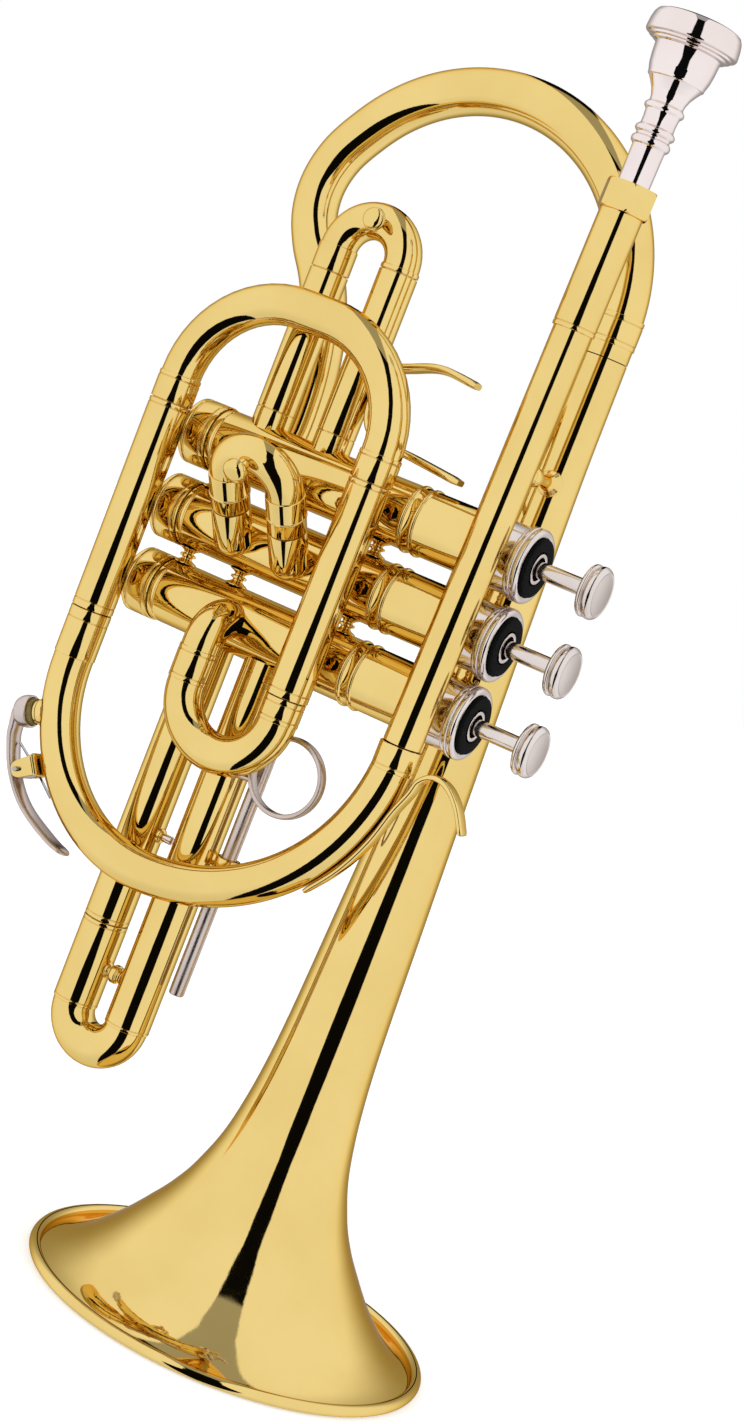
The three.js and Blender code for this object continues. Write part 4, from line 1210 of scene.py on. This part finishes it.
def flat_strip(path, thickness, widths, y):
    """A flat bar with rounded edges along points [x, z], its width on Y given at each point."""
    centre = smooth_curve([(x, z, w) for (x, z), w in zip(path, widths)], 8)
    count = len(centre)
    roundness = 0.95
    end_width, end_thickness = 0.85, 0.75
    corner_steps = 6
    rings = []
    for i, point in enumerate(centre):
        before, after = centre[max(i - 1, 0)], centre[min(i + 1, count - 1)]
        tangent = Vector((after.x - before.x, 0, after.y - before.y)).normalized()
        side = Vector((-tangent.z, 0, tangent.x))
        spot = Vector((point.x, y, point.y))
        half_w, half_t = point.z / 2, thickness / 2
        if i in (0, count - 1):
            half_w, half_t = half_w * end_width, half_t * end_thickness
        soft = min(half_t, half_w) * roundness
        ring = []
        for sign_w, sign_t, start in ((1, 1, 0), (-1, 1, 90), (-1, -1, 180), (1, -1, 270)):
            for a, b in arc(soft, start, start + 90, corner_steps):
                across = Vector((0, sign_w * (half_w - soft) + a, 0))
                ring.append(spot + across + side * (sign_t * (half_t - soft) + b))
        rings.append(ring)
    ends = [Vector((point.x, y, point.y)) for point in (centre[0], centre[-1])]
    return skin([[ends[0]], *rings, [ends[1]]])


def make_finger_hook():
    """A flat hook: its foot lies along the front bow, and its end curls over for the finger."""
    thickness = 1.6
    lift = BOW_R + GAP + 0.9
    rx, rz = BOW_RIGHT_X - BOW_LOW_X + lift, BOW_RIGHT_Z - BOW_LOW_Z + lift
    angles = [math.radians(degrees) for degrees in (-42, -32, -22, -13)]
    foot = [(BOW_LOW_X + rx * math.cos(a), BOW_RIGHT_Z + rz * math.sin(a)) for a in angles]
    over = [(11.5, 171.8), (12.9, 176.2), (16.8, 178.9), (21.6, 177.8), (26.2, 173.8), (30.4, 167.3)]
    widths = (2.4, 3.6, 4.6, 5.0, 5.0, 5.0, 5.0, 5.0, 5.0, 4.6)
    stand_for("finger_hook", flat_strip(foot + over, thickness, widths, NEAR_Y))


def make_thumb_saddle():
    """Two flat curved prongs from the first slide's right sleeve. X is from the sleeve's side."""
    thickness = 2.3
    widths = (6.4, 6.4, 6.2, 6.0, 5.4)
    foot = box("first_slide_sleeve_right")[2].x + FIRST_R + GAP
    upper = [(1.1, 271), (3, 279), (10, 282.5), (19, 285), (31, 284)]
    lower = [(1.1, 274), (2.6, 264), (8, 259.5), (20, 258.4), (37, 256.6)]
    shape = Shape()
    for prong in (upper, lower):
        shape = shape + flat_strip([(foot + x, z) for x, z in prong], thickness, widths, VALVE_Y)
    stand_for("thumb_saddle", shape)


def make_brace():
    """A turned post with flared feet and a bead between two steps in its middle."""
    low, high, middle = box("leadpipe_brace")
    half = (high.y - low.y) / 2
    outward = [(2.9, 1.4), (2.2, 2.1), (2.2, 2.9), (1.8, 3.2), (1.8, half - 3.2), (2.5, half - 1.8),
               (3.8, half - 0.7), (4, half), (0, half)]
    profile = rounded([(r, -y) for r, y in reversed(outward)] + outward, 0.3)
    stand_for("leadpipe_brace", along_y(turned(profile, 48)).moved(*middle))


def make_valve_springs():
    """The valves' springs, which shorten from their upper end as the buttons go down."""
    wire = 0.6
    turns = 4
    steps = 24 * turns
    for number in (1, 2, 3):
        node = f"valve_spring_{number}"
        low, high, _ = box(node)
        radius = (high.y - low.y) / 2 - wire
        length = high.x - low.x
        path = []
        for i in range(steps + 1):
            angle = 2 * math.pi * turns * i / steps
            x = low.x + wire + (length - 2 * wire) * i / steps
            y, z = VALVE_Y + radius * math.cos(angle), valve_z(number) + radius * math.sin(angle)
            path.append((x, y, z))
        piece = stand_for(node, sweep(path, wire, segments=12))
        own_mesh(piece)


def finish_cad_nodes():
    """The parts that keep their CAD shapes: pistons, guides and the water key's spring."""
    for node, piece in frame["nodes"].items():
        if "piston" in node or "guide" in node or node == "water_key_spring":
            piece.data.materials.clear()
            piece.data.materials.append(MATERIALS[SLOT_OF[node]])


make_studio_light()
make_floor()
make_camera()
make_valves()
make_crossovers()
make_valve_springs()
make_main_slide()
make_first_slide()
make_second_slide()
make_third_slide()
make_stop_rod()
make_finger_ring()
make_inlet_bow()
make_front_bow()
make_leadpipe()
make_receiver()
make_mouthpiece()
make_water_key()
make_bell()
make_crook()
make_finger_hook()
make_thumb_saddle()
make_brace()
finish_cad_nodes()

scene = bpy.context.scene
scene.view_settings.view_transform = "Standard"
